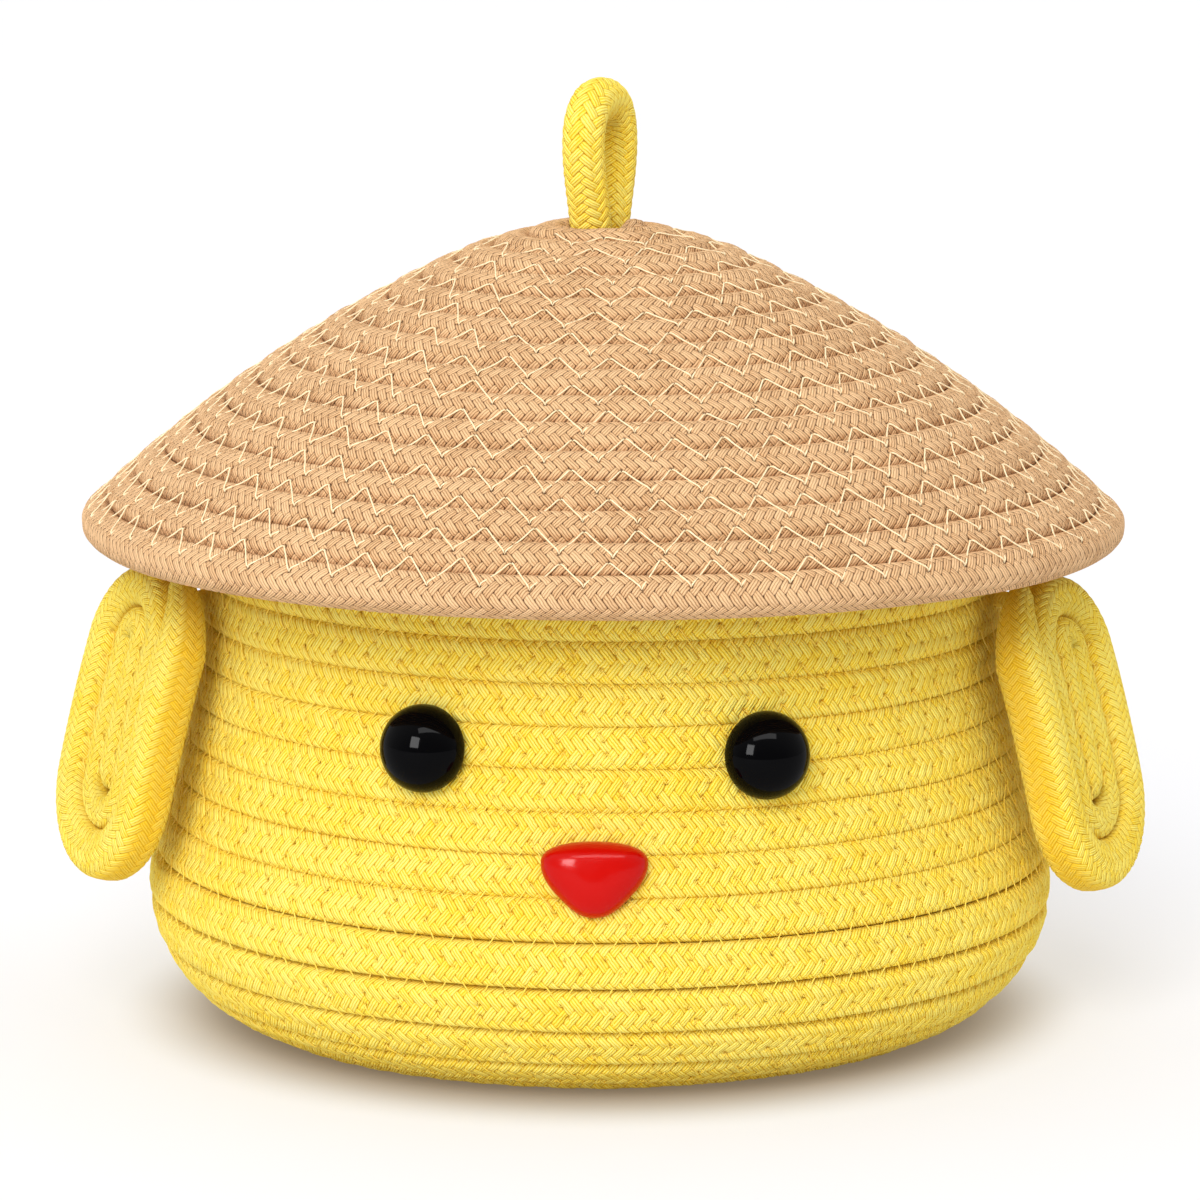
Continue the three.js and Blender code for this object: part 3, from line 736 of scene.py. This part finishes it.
def plastic_material(name, colour, shade, roughness, ior):
    """Moulded plastic with the faint unevenness that a mould leaves."""
    s = Shader(bpy.data.materials.new(name))
    cloud = s.noise(60.0)
    rough = s.span(s.noise(180.0, 3.0), 0.3, 0.8, roughness, roughness * 1.6)
    s.fill(s.surface, Base_Color=s.mix(cloud, linear(colour), linear(shade)), Roughness=rough, IOR=ior)
    s.bump(0.1, 0.0002, cloud)
    return s.owner


# Looks: a material and its slot
# Rope tones: light, middle, dark and a deep one for painted shade; the light tone also paints light on
# crowns, the dark one shade on flanks
YELLOW = rope_material(
    "yellow_cotton", (255, 236, 120), (255, 220, 60), (244, 190, 18), (198, 130, 2),
    painted_crevice_shade=0.5, holes=0.4), "yellow_rope"
TAN = rope_material(
    "tan_cotton", (240, 198, 150), (214, 168, 120), (144, 94, 50), (70, 36, 14),
    painted_crevice_shade=1.0, holes=0.8), "tan_rope"
YELLOW_THREAD = thread_material("yellow_thread", (255, 228, 96), (248, 210, 62)), "yellow_thread"
CREAM_THREAD = thread_material("cream_thread", (255, 240, 200), (248, 220, 172)), "yellow_thread"
BLACK = plastic_material("black_plastic", (4, 4, 5), (3, 3, 4), 0.05, 1.14), "black_plastic"
RED = plastic_material("red_plastic", (196, 8, 2), (186, 7, 2), 0.14, 1.25), "red_plastic"
CLEAR = plastic_material("clear_plastic", (232, 229, 220), (222, 218, 206), 0.4, 1.45), "clear_plastic"


def finish_piece(piece, look, body, *nodes):
    material, slot = look
    piece.data.materials.append(material)
    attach(piece, body)
    if nodes:
        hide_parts(*nodes)


# The basket and the lid
def legs_reach(angle):
    """How far the handle's two legs reach from the axis, in a direction."""
    leg = HANDLE_ROPE / 2
    along, side = np.abs(np.cos(angle - HANDLE_TURN)), np.abs(np.sin(angle - HANDLE_TURN))
    beside = leg / np.maximum(side, 1e-3)
    past = leg * along + np.sqrt(np.maximum(leg ** 2 - (leg * side) ** 2, 0))
    return np.where(beside * along < leg, beside, past) / math.cos(LID_TOP_SLOPE) - LEG_PRESS


def squeeze(coil, t, reach_at):
    """Share of its width that a turn keeps, and its shift, where it closes round the middle."""
    middle, half = coil.length(t), coil.pitch / 2
    nearby = coil.angle(t) + np.linspace(-0.25, 0.25, 11)[:, None]
    reach = reach_at(nearby).mean(axis=0)
    inner = np.maximum(middle - half, np.minimum(reach, middle + half - LEAST_WIDTH))
    inner = np.where(middle < SQUEEZED_TURNS * coil.pitch, inner, middle - half)
    return (middle + half - inner) / coil.pitch, (middle + half + inner) / 2 - middle


def coil_pieces(coil, body, node, seed, look, squareness, overlap, end_taper, reach_at,
                thread, diameter, period, first_stitch, reach):
    """A coil's turns as pieces cut behind the basket, and the zigzag along its grooves.

    squareness is the power of the section's outline: 2 is an ellipse. Turns press into each other by
    overlap. period is the length of one zigzag, and reach the distances from the groove to a needle hole
    in the inner and the outer turn.
    """
    t, distance = coil.even_steps(RING_STEP, coil.start, coil.end)
    stitches = Zigzag(coil, period, seed + STITCH_SEED, squareness, first_stitch, reach)
    section = rope_section(coil.pitch + overlap, COIL_THICKNESS, squareness, COIL_STEPS)
    end_size = drawn_in(distance[-1] - distance, end_taper, END_TIP)
    size = drawn_in(distance, START_TAPER, END_TIP) * end_size
    kept, aside = squeeze(coil, t, reach_at)
    thinned = 1 - SQUEEZED_THINNING * (1 - kept)
    scale = np.column_stack([size * kept, size * thinned])
    shift = aside - (1 - end_size) * coil.pitch / 2
    free = smoothstep(*FREE_TURNS, t - coil.end)
    rope = Rope(coil.frame_at(t), distance, section, seed, scale, shift[:, None], free[:, None],
                lambda x: stitches.holes(t, x))
    cuts = [0]
    for turn in range(math.floor(coil.start), math.ceil(coil.end)):
        ring = int(np.argmin(np.abs(t - (turn + 0.5))))
        if cuts[-1] + LEAST_RINGS < ring < len(t) - LEAST_RINGS:
            cuts.append(ring)
    cuts.append(len(t) - 1)
    for number, (first, last) in enumerate(zip(cuts, cuts[1:]), 1):
        strips = max(1, round(math.sqrt((distance[last] - distance[first]) / BAKE_STRIP)))
        finish_piece(rope.piece(f"{body}_turn_{number:02d}", strips, first, last), look, body, node)
    zigzag = thread_through(f"{body}_stitches", *stitches.ends(), diameter, COIL_SAG, 24)
    finish_piece(zigzag, thread, body)


coil_pieces(
    Coil(wall_profile, FRONT_ROW_PHASE, WALL_PITCH, hand=-1, start=-0.72, end=BASKET_END, upward=1),
    "basket", "basket_rope", 11, YELLOW, squareness=4.5, overlap=0.4, end_taper=22.0,
    reach_at=lambda angle: BARE_MIDDLE + 0 * angle, thread=YELLOW_THREAD, diameter=BODY_THREAD,
    period=9.2, first_stitch=0.0, reach=(3.3, 3.6))
coil_pieces(
    Coil(lid_profile, 143.8, LID_PITCH, hand=1, start=-14.93, end=0.42, upward=-1),
    "lid", "lid_rope", 51, TAN, squareness=3.0, overlap=0.1, end_taper=26.0,
    reach_at=legs_reach, thread=CREAM_THREAD, diameter=0.39, period=10.9, first_stitch=-14.15,
    reach=(2.3, 4.8))


def resampled(line, step, *extra):
    """A line with even steps along it, with other values carried along."""
    run = run_along(line)
    distance = even_distances(run[-1], step)
    picked = (np.column_stack([np.interp(distance, run, column) for column in values.T])
              for values in (line, *extra))
    return distance, *picked


# Handle
def handle_line():
    """The handle's path in its own plane: sideways and up."""
    half_rope, crown = HANDLE_ROPE / 2, HANDLE_SPREAD / 2
    neck_run = HANDLE_ROPE + LEG_CLEARANCE + SEAT_GAP + (LID_PITCH - TURN_GAP) / 2
    neck_run /= math.cos(LID_TOP_SLOPE)
    _, neck, _ = lid_profile(neck_run)
    crown_height = neck + HANDLE_RISE - half_rope - crown
    r, z, lean = lid_profile(neck_run + LEG_TAIL)
    slope = np.pi / 2 - lean
    deep = HALF + TAIL_GAP + half_rope
    end = np.array([r - deep * math.sin(slope), z - deep * math.cos(slope)])
    bend_x = half_rope + LEG_BEND * (1 - math.sin(slope))
    bend_z = end[1] + (end[0] - bend_x) * math.tan(slope) + LEG_BEND * math.cos(slope)
    turn = np.linspace(np.pi / 2 - slope, 0, 12)
    bend = np.column_stack([half_rope + LEG_BEND * (1 - np.cos(turn)), bend_z - LEG_BEND * np.sin(turn)])
    k = np.linspace(0, 1, 24)
    opening = np.column_stack([half_rope + (crown - half_rope) * ease(k),
                               neck + (crown_height - neck) * k])
    arc = np.linspace(0, np.pi, 40)[1:-1]
    over = np.column_stack([crown * signed_power(np.cos(arc), CROWN_POWER),
                            crown_height + crown * np.sin(arc) ** CROWN_POWER])
    right = np.concatenate([end[None], bend, opening])
    return np.concatenate([right, over, (right * [-1, 1])[::-1]])


def handle_piece():
    flat = handle_line()
    for _ in range(6):
        flat[1:-1] = (flat[:-2] + 2 * flat[1:-1] + flat[2:]) / 4
    distance, flat = resampled(flat, HANDLE_RING_STEP)
    side = np.array([math.cos(HANDLE_TURN), math.sin(HANDLE_TURN), 0])
    facing = np.array([-side[1], side[0], 0])
    line = flat[:, :1] * side + flat[:, 1:] * UP
    out = np.cross(unit(np.gradient(line, axis=0)), facing)
    across = np.broadcast_to(facing, out.shape)
    section = rope_section(HANDLE_ROPE, HANDLE_ROPE, squareness=2.0, steps=HANDLE_STEPS)
    size = tapered(distance, HANDLE_TAPER, HANDLE_TAPER, tip=0.3)
    rope = Rope((line, across, out), distance, section, 91, size[:, None], relief=1.3, turning=1.6)
    finish_piece(rope.piece("handle_rope", 2), YELLOW, "lid", "handle_loop")


handle_piece()


# Wings
def wing_path():
    """The wing's rope in its own plane: points, the way outwards, width and thickness."""
    inner = np.array([WING_PITCH, WING_THICKNESS])
    outer = np.array([WING_BORDER, WING_BORDER])
    rows = [np.array([[0, -WING_CORE - WING_INNER_END, 1, 0, *inner]])]

    def bend(centre_x, centre_y, radius, start, turn, before, after, drift=0.0):
        k = np.linspace(0, 1, max(8, round(radius * turn / WING_STEPS[0])) + 1)
        way = np.column_stack([np.cos(start + turn * k), np.sin(start + turn * k)])
        points = [centre_x, centre_y] + (radius + drift * k)[:, None] * way
        rows.append(np.hstack([points, way, before + (after - before) * k[:, None]]))

    over_x = (WING_PITCH - WING_OUTER) / 2
    bend(-WING_PITCH / 2, WING_CORE, WING_PITCH / 2, 0, math.pi, inner, inner)
    bend(0, -WING_CORE, WING_PITCH, -math.pi, math.pi, inner, inner)
    bend(over_x, WING_CORE, WING_OUTER + over_x, 0, math.pi, inner, outer)
    bend(0, -WING_CORE, WING_OUTER, -math.pi, math.pi, outer, outer)
    swelling = (outer[0] - inner[0]) / 2 * WING_END / math.pi
    drift = swelling - outer[0] * (1 - WING_TIP) / 2
    bend(over_x, WING_CORE, WING_OUTER - over_x, 0, WING_END, outer, outer * WING_TIP, drift)
    rows = np.concatenate(rows)
    return rows[:, :2], rows[:, 2:4], rows[:, 4:]


def wing_placement():
    """Where the right wing lies: its middle and its directions to the front, up and out."""
    top_along = WING_CORE + (WING_PITCH + WING_OUTER) / 2
    seat_height = WING_HEIGHT + top_along * math.cos(WING_LEAN)
    lean = wall_lean(min(seat_height, RIM_HEIGHT))
    clear = WING_STAND_OFF + WING_BORDER / 2 / math.cos(WING_LEAN)
    distance = wall_radius(lean) + HALF + clear + top_along * math.sin(WING_LEAN)
    middle = distance / math.cos(WING_FACING - WING_SITE)
    level = np.array([math.cos(WING_FACING), -math.sin(WING_FACING), 0])
    out = level * math.cos(WING_LEAN) + UP * math.sin(WING_LEAN)
    frontward = np.array([-math.sin(WING_FACING), -math.cos(WING_FACING), 0])
    at = np.array([middle * math.cos(WING_SITE), -middle * math.sin(WING_SITE), WING_HEIGHT])
    return at, frontward, np.cross(frontward, out), out


WING_AT, WING_FRONT, WING_UP, WING_OUT = wing_placement()


def wing_pieces(name, side, seed, shift):
    """One wing, mirrored for the left."""
    mirror = np.array([side, 1, 1])
    out_way = WING_OUT * mirror
    flat, away, size = wing_path()
    distance, flat, away, size = resampled(flat, WING_RING_STEP, away, size)
    away = unit(away)

    def turned(ways):
        return (ways[:, :1] * WING_FRONT + ways[:, 1:] * WING_UP) * mirror

    def on_wing(spots):
        swell = WING_DOME * (1 - (spots[:, 1:] / (WING_CORE + WING_OUTER + DOME_MARGIN)) ** 2)
        return (WING_AT + shift) * mirror + turned(spots) + swell * out_way

    chance = np.random.default_rng(seed)
    begin = 2 * WING_CORE + math.pi * WING_PITCH * 1.5
    count = int((distance[-1] - WING_LAST_STITCH - begin) / WING_STITCH * 2)
    at = begin + (np.arange(count) + 0.5) * WING_STITCH / 2 + chance.normal(0, 0.3, count)
    spots = [np.interp(at, distance, column) for column in (*flat.T, *away.T, size[:, 0])]
    middles, ways, widths = np.column_stack(spots[:2]), np.column_stack(spots[2:4]), spots[4]
    reach = np.where(np.arange(count) % 2, 1, -1) * (WING_REACH + chance.normal(0, 0.2, count))
    straight = np.abs(middles[:, 1]) < WING_CORE + 3
    holes = middles - ways * (widths / 2 + reach)[:, None]

    inner = np.clip((WING_BORDER - size[:, :1]) / (WING_BORDER - WING_PITCH), 0, 1)
    width = (size[:, :1] + WING_OVERLAP * inner) / (WING_PITCH + WING_OVERLAP)

    def hole_depths(x):
        points = flat[:, None] + away[:, None] * (x[None] * width)[..., None]
        gaps = [((points - hole) ** 2).sum(-1) for hole in holes[straight]]
        return hole_and_dent(np.min(gaps, axis=0))

    section = rope_section(WING_PITCH + WING_OVERLAP, WING_PITCH, squareness=2.6, steps=WING_STEPS)
    path = (on_wing(flat), turned(away), np.broadcast_to(out_way, (len(flat), 3)))
    scale = np.hstack([width, size[:, 1:] / WING_PITCH])
    scale *= tapered(distance, start_length=4.0, end_length=3.0, tip=0.4)[:, None]
    # shade=0.6 paints shade on the flanks between the wing's turns
    rope = Rope(path, distance, section, seed, scale, holes=hole_depths, strands=14, step=2.1, shade=0.6)
    finish_piece(rope.piece(f"{name}_rope", 4), YELLOW, name, name)
    ends = on_wing(holes) + WING_THICKNESS / 2 * WING_STITCH_HEIGHT * out_way
    breaks = np.flatnonzero(np.diff(straight.astype(int))) + 1
    runs = [run for run in np.split(np.arange(count), breaks) if straight[run[0]] and len(run) > 3]
    for number, run in enumerate(runs, 1):
        outs = np.broadcast_to(out_way, (len(run), 3))
        stitches = thread_through(f"{name}_stitches_{number}", ends[run], outs, BODY_THREAD, WING_SAG, 4)
        finish_piece(stitches, YELLOW_THREAD, name)


wing_pieces("wing_left", -1, 131, np.zeros(3))
wing_pieces("wing_right", 1, 171, np.array(RIGHT_WING_SHIFT))


def tack_piece(name, side):
    """A bunch of thread turns that holds a wing's top to the wall."""
    low, high = (np.array(corner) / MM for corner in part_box(name))
    middle = (low + high) / 2
    q = np.linspace(0, TACK_TURNS, TACK_TURNS * TACK_STEPS + 1)
    offset = (q / TACK_TURNS - 0.5) * (high[1] - low[1] - TACK_MARGIN)
    c, s = np.cos(FULL_TURN * q), np.sin(FULL_TURN * q)
    mirror = np.array([side, 1, 1])
    line = np.column_stack([
        side * middle[0] + TACK_SHIFT[0] + TACK_SIZE[0] * c + offset * WING_FRONT[0],
        middle[1] - offset * WING_FRONT[1] * TACK_RUN + TACK_SIZE[1] * s,
        middle[2] + TACK_SHIFT[1] + TACK_SIZE[2] * s]) * mirror
    way = np.column_stack([c, 0 * q, s]) * mirror
    thread = sweep(f"{name}_thread", tube_rings(line, way, TACK_THREAD), 2)
    finish_piece(thread, YELLOW_THREAD, "basket", name)


tack_piece("wing_left_tack", -1)
tack_piece("wing_right_tack", 1)


# Eyes, nose and washers
def wall_seat(offset, height):
    """A place on the wall: the point on the rope's centre line and the ways sideways, out and up."""
    lean = wall_lean(height)
    r = wall_radius(lean)
    azimuth = math.asin(offset / r)
    level = np.array([math.sin(azimuth), -math.cos(azimuth), 0])
    out = level * math.cos(lean) + UP * math.sin(lean)
    sideways = np.array([math.cos(azimuth), math.sin(azimuth), 0])
    return level * r + UP * height, sideways, out, np.cross(sideways, -out)


def moulded_piece(name, seat, outline, rings, look, node):
    """A piece with rings of one outline, given by their size and distance out from the seat."""
    rings = np.array(rings, float)
    at, sideways, out, up = seat
    x, z = (rings[:, :1] * values[None] for values in outline.T)
    y = np.broadcast_to(rings[:, 1:], x.shape)
    points = at + x[..., None] * sideways + y[..., None] * out + z[..., None] * up
    piece = sweep(name, points, 1, normals=outward_normals(points, points.mean(axis=(0, 1))))
    finish_piece(piece, look, "basket", node)


def turned_piece(name, seat, profile, look, node):
    """A piece turned on a lathe about its seat's way out, from a profile of radii and distances out."""
    angle = np.linspace(0, FULL_TURN, LATHE_SIDES, endpoint=False)
    circle = np.column_stack([np.cos(angle), np.sin(angle)])
    moulded_piece(name, seat, circle, profile, look, node)


def arc_points(centre_y, radius_x, radius_y, start, end, count):
    angle = np.radians(np.linspace(start, end, count))
    return [(radius_x * math.cos(a), centre_y + radius_y * math.sin(a)) for a in angle]


def post_profile(end):
    """A post from behind the washer out to its end."""
    tip = WASHER_FACE - POST_LENGTH
    return [(TINY, tip), (POST - 0.4, tip), (POST, tip + POST_CHAMFER), (POST, end)]


def eye_profile():
    """A dome whose sides draw in a little towards the wall, on a post."""
    radius, middle = EYE_DIAMETER / 2, SEAT_BACK + EYE_WIDEST
    depth = EYE_DEPTH + PRESSED_IN
    dome = arc_points(middle, radius, depth - EYE_WIDEST, 0, 89.5, 48)
    under = math.degrees(math.acos(EYE_FOOT / radius))
    side = arc_points(middle, radius, EYE_WIDEST / math.sin(math.radians(under)), -under, -2, 12)
    return [*post_profile(SEAT_BACK), *side, *dome, (TINY, SEAT_BACK + depth)]


def washer_profile():
    bore, collar, rim, thick, deep, corner = POST + 0.1, 4.5, 9.0, 1.5, 4.5, 0.4
    face, back, end = WASHER_FACE, WASHER_FACE - thick, WASHER_FACE - deep
    return [(bore, face), (bore, end), (collar - corner, end), (collar, end + corner),
            (collar, back - 0.5), (collar + 0.5, back), (rim - corner, back), (rim, back + corner),
            (rim, face - corner), (rim - corner, face), (bore + 0.01, face)]


def nose_outline():
    """A rounded triangle, point down."""
    wide, top = NOSE_WIDTH / 2, NOSE_HEIGHT * NOSE_TOP
    tip = NOSE_HEIGHT - top
    k = np.linspace(0, 1, 25)[:, None]
    half = []
    for curve in NOSE_CURVES:
        p, q, r, s = (np.array([wide * x, y * (top if y > 0 else tip)]) for x, y in curve)
        points = (1 - k) ** 3 * p + 3 * (1 - k) ** 2 * k * q + 3 * (1 - k) * k ** 2 * r + k ** 3 * s
        half.append(points[:-1])
    half = np.concatenate([*half, [[0, top]]])
    _, outline = resampled(np.concatenate([half, (half[:-1] * [-1, 1])[::-1]]), NOSE_POINT_STEP)
    return outline[:-1]


def nose_pieces(seat):
    """The nose, swelling to a smooth front, and its post."""
    back, edge = SEAT_BACK, SEAT_BACK + NOSE_EDGE
    rise = NOSE_DEPTH + PRESSED_IN - NOSE_EDGE
    rings = [(TINY, back), (0.85, back), (0.95, back + 0.15), (0.99, back + 0.5), (1.0, edge)]
    front = np.radians(np.linspace(4, 89, 30))
    rings += [(math.cos(a) ** 0.85, edge + rise * math.sin(a)) for a in front]
    moulded_piece("nose_moulding", seat, nose_outline(), rings, RED, "nose")
    turned_piece("nose_post", seat, [*post_profile(back + 0.5), (TINY, back + 0.5)], RED, "nose")


for hand, sign in (("left", -1), ("right", 1)):
    eye_seat = wall_seat(EYE_SHIFT + sign * EYE_SPAN / 2, EYE_HEIGHT - sign * EYE_DROP)
    turned_piece(f"eye_{hand}_dome", eye_seat, eye_profile(), BLACK, f"eye_{hand}")
    turned_piece(f"eye_{hand}_disc", eye_seat, washer_profile(), CLEAR, f"eye_{hand}_washer")
nose_seat = wall_seat(NOSE_SHIFT, NOSE_CENTRE_HEIGHT)
nose_pieces(nose_seat)
turned_piece("nose_disc", nose_seat, washer_profile(), CLEAR, "nose_washer")


# Studio, in metres
CAMERA_PITCH = 0.168
FLOOR_REACH = 12.0
FLOOR_SHADE_REACH = (0.084, 0.122)  # from the axis, where the floor turns from its painted contact shadow to pale
FLOOR_PALE_AND_PAINTED_SHADOW = (0.54, 0.54, 0.56, 1), (0.24, 0.19, 0.13, 1)  # pale, and dark for a painted contact shadow under the basket
# the floor glows, painted light that fills its shadows and colour cast; it glows less in the painted
# contact shadow
FLOOR_GLOWS = (0.38, 0.38, 0.38, 1), (0.17, 0.14, 0.1, 1)
SKY_TILT = (0.8, 0.6)  # back and up: the way in which the sky gets brighter
SKY_STRENGTH = (-0.8, 0.5, 0.3, 0.95)  # two places along that way, and the strength at each
LIT_POINT = (0, -0.1, 0.08)
# Name, place, width, height, watts, and whether it lights surfaces and shows in reflections
BOXES = (
    ("front_fill", (-0.8, -2.1, 0.85), 1.6, 1.2, 15.0, True, False),
    ("left_box", (-0.75, -1.25, 0.62), 0.5, 0.6, 22.0, False, True),
    ("top_strip", (0.1, -0.8, 1.1), 1.2, 0.3, 9.0, False, True),
)


def make_camera():
    data = bpy.data.cameras.new("camera")
    data.lens = 159.19
    data.sensor_width = 36.0
    data.clip_end = 50.0
    camera = add_object("camera", data)
    camera.location = (0, -1.2827, 0.3187)
    camera.rotation_euler = (math.pi / 2 - CAMERA_PITCH, 0, 0)
    bpy.context.scene.camera = camera


def make_floor():
    mesh = bpy.data.meshes.new("floor")
    corners = [(x * FLOOR_REACH, y * FLOOR_REACH, 0) for x, y in ((-1, -1), (1, -1), (1, 1), (-1, 1))]
    mesh.from_pydata(corners, [], [(0, 1, 2, 3)])
    floor = add_object("floor", mesh)
    s = Shader(bpy.data.materials.new("floor_with_painted_shadow"))
    away = s.node("VectorMath", {"operation": "LENGTH"}, s.node("TexCoord").outputs["Object"])
    # painted contact shadow: darker and glowing less near the basket's axis
    under = s.span(away.outputs["Value"], *FLOOR_SHADE_REACH, 1.0, 0.0)
    s.fill(s.surface, Base_Color=s.mix(under, *FLOOR_PALE_AND_PAINTED_SHADOW), Emission_Color=s.mix(under, *FLOOR_GLOWS),
           Emission_Strength=1.0, Roughness=0.9, Specular_IOR_Level=0.1)
    mesh.materials.append(s.owner)


def make_sky():
    world = bpy.data.worlds.new("studio")
    s = Shader(world)
    way = s.node("SeparateXYZ", Vector=s.node("TexCoord").outputs["Generated"])
    back, up = SKY_TILT
    tilt = s.total(s.times(way.outputs[1], back), s.times(way.outputs[2], up))
    s.fill(s.nodes["Background"], Color=(1, 1, 1, 1), Strength=s.span(tilt, *SKY_STRENGTH))
    bpy.context.scene.world = world


def make_lights():
    sun = bpy.data.lights.new("soft_key", "SUN")
    sun.energy = 1.5
    sun.angle = math.radians(30)
    key = add_object("soft_key", sun)
    key.rotation_euler = (math.radians(52), math.radians(-14), 0)
    key.visible_glossy = False
    for name, at, wide, tall, watts, diffuse, gloss in BOXES:
        data = bpy.data.lights.new(name, "AREA")
        data.shape = "RECTANGLE"
        data.size = wide
        data.size_y = tall
        data.energy = watts
        light = add_object(name, data)
        light.location = at
        way = unit(np.subtract(LIT_POINT, at))
        light.rotation_euler = (math.acos(-way[2]), 0, math.atan2(way[1], way[0]) - math.pi / 2)
        light.visible_diffuse = diffuse
        light.visible_glossy = gloss


make_camera()
make_floor()
make_sky()
make_lights()
bpy.context.scene.view_settings.view_transform = "Standard"
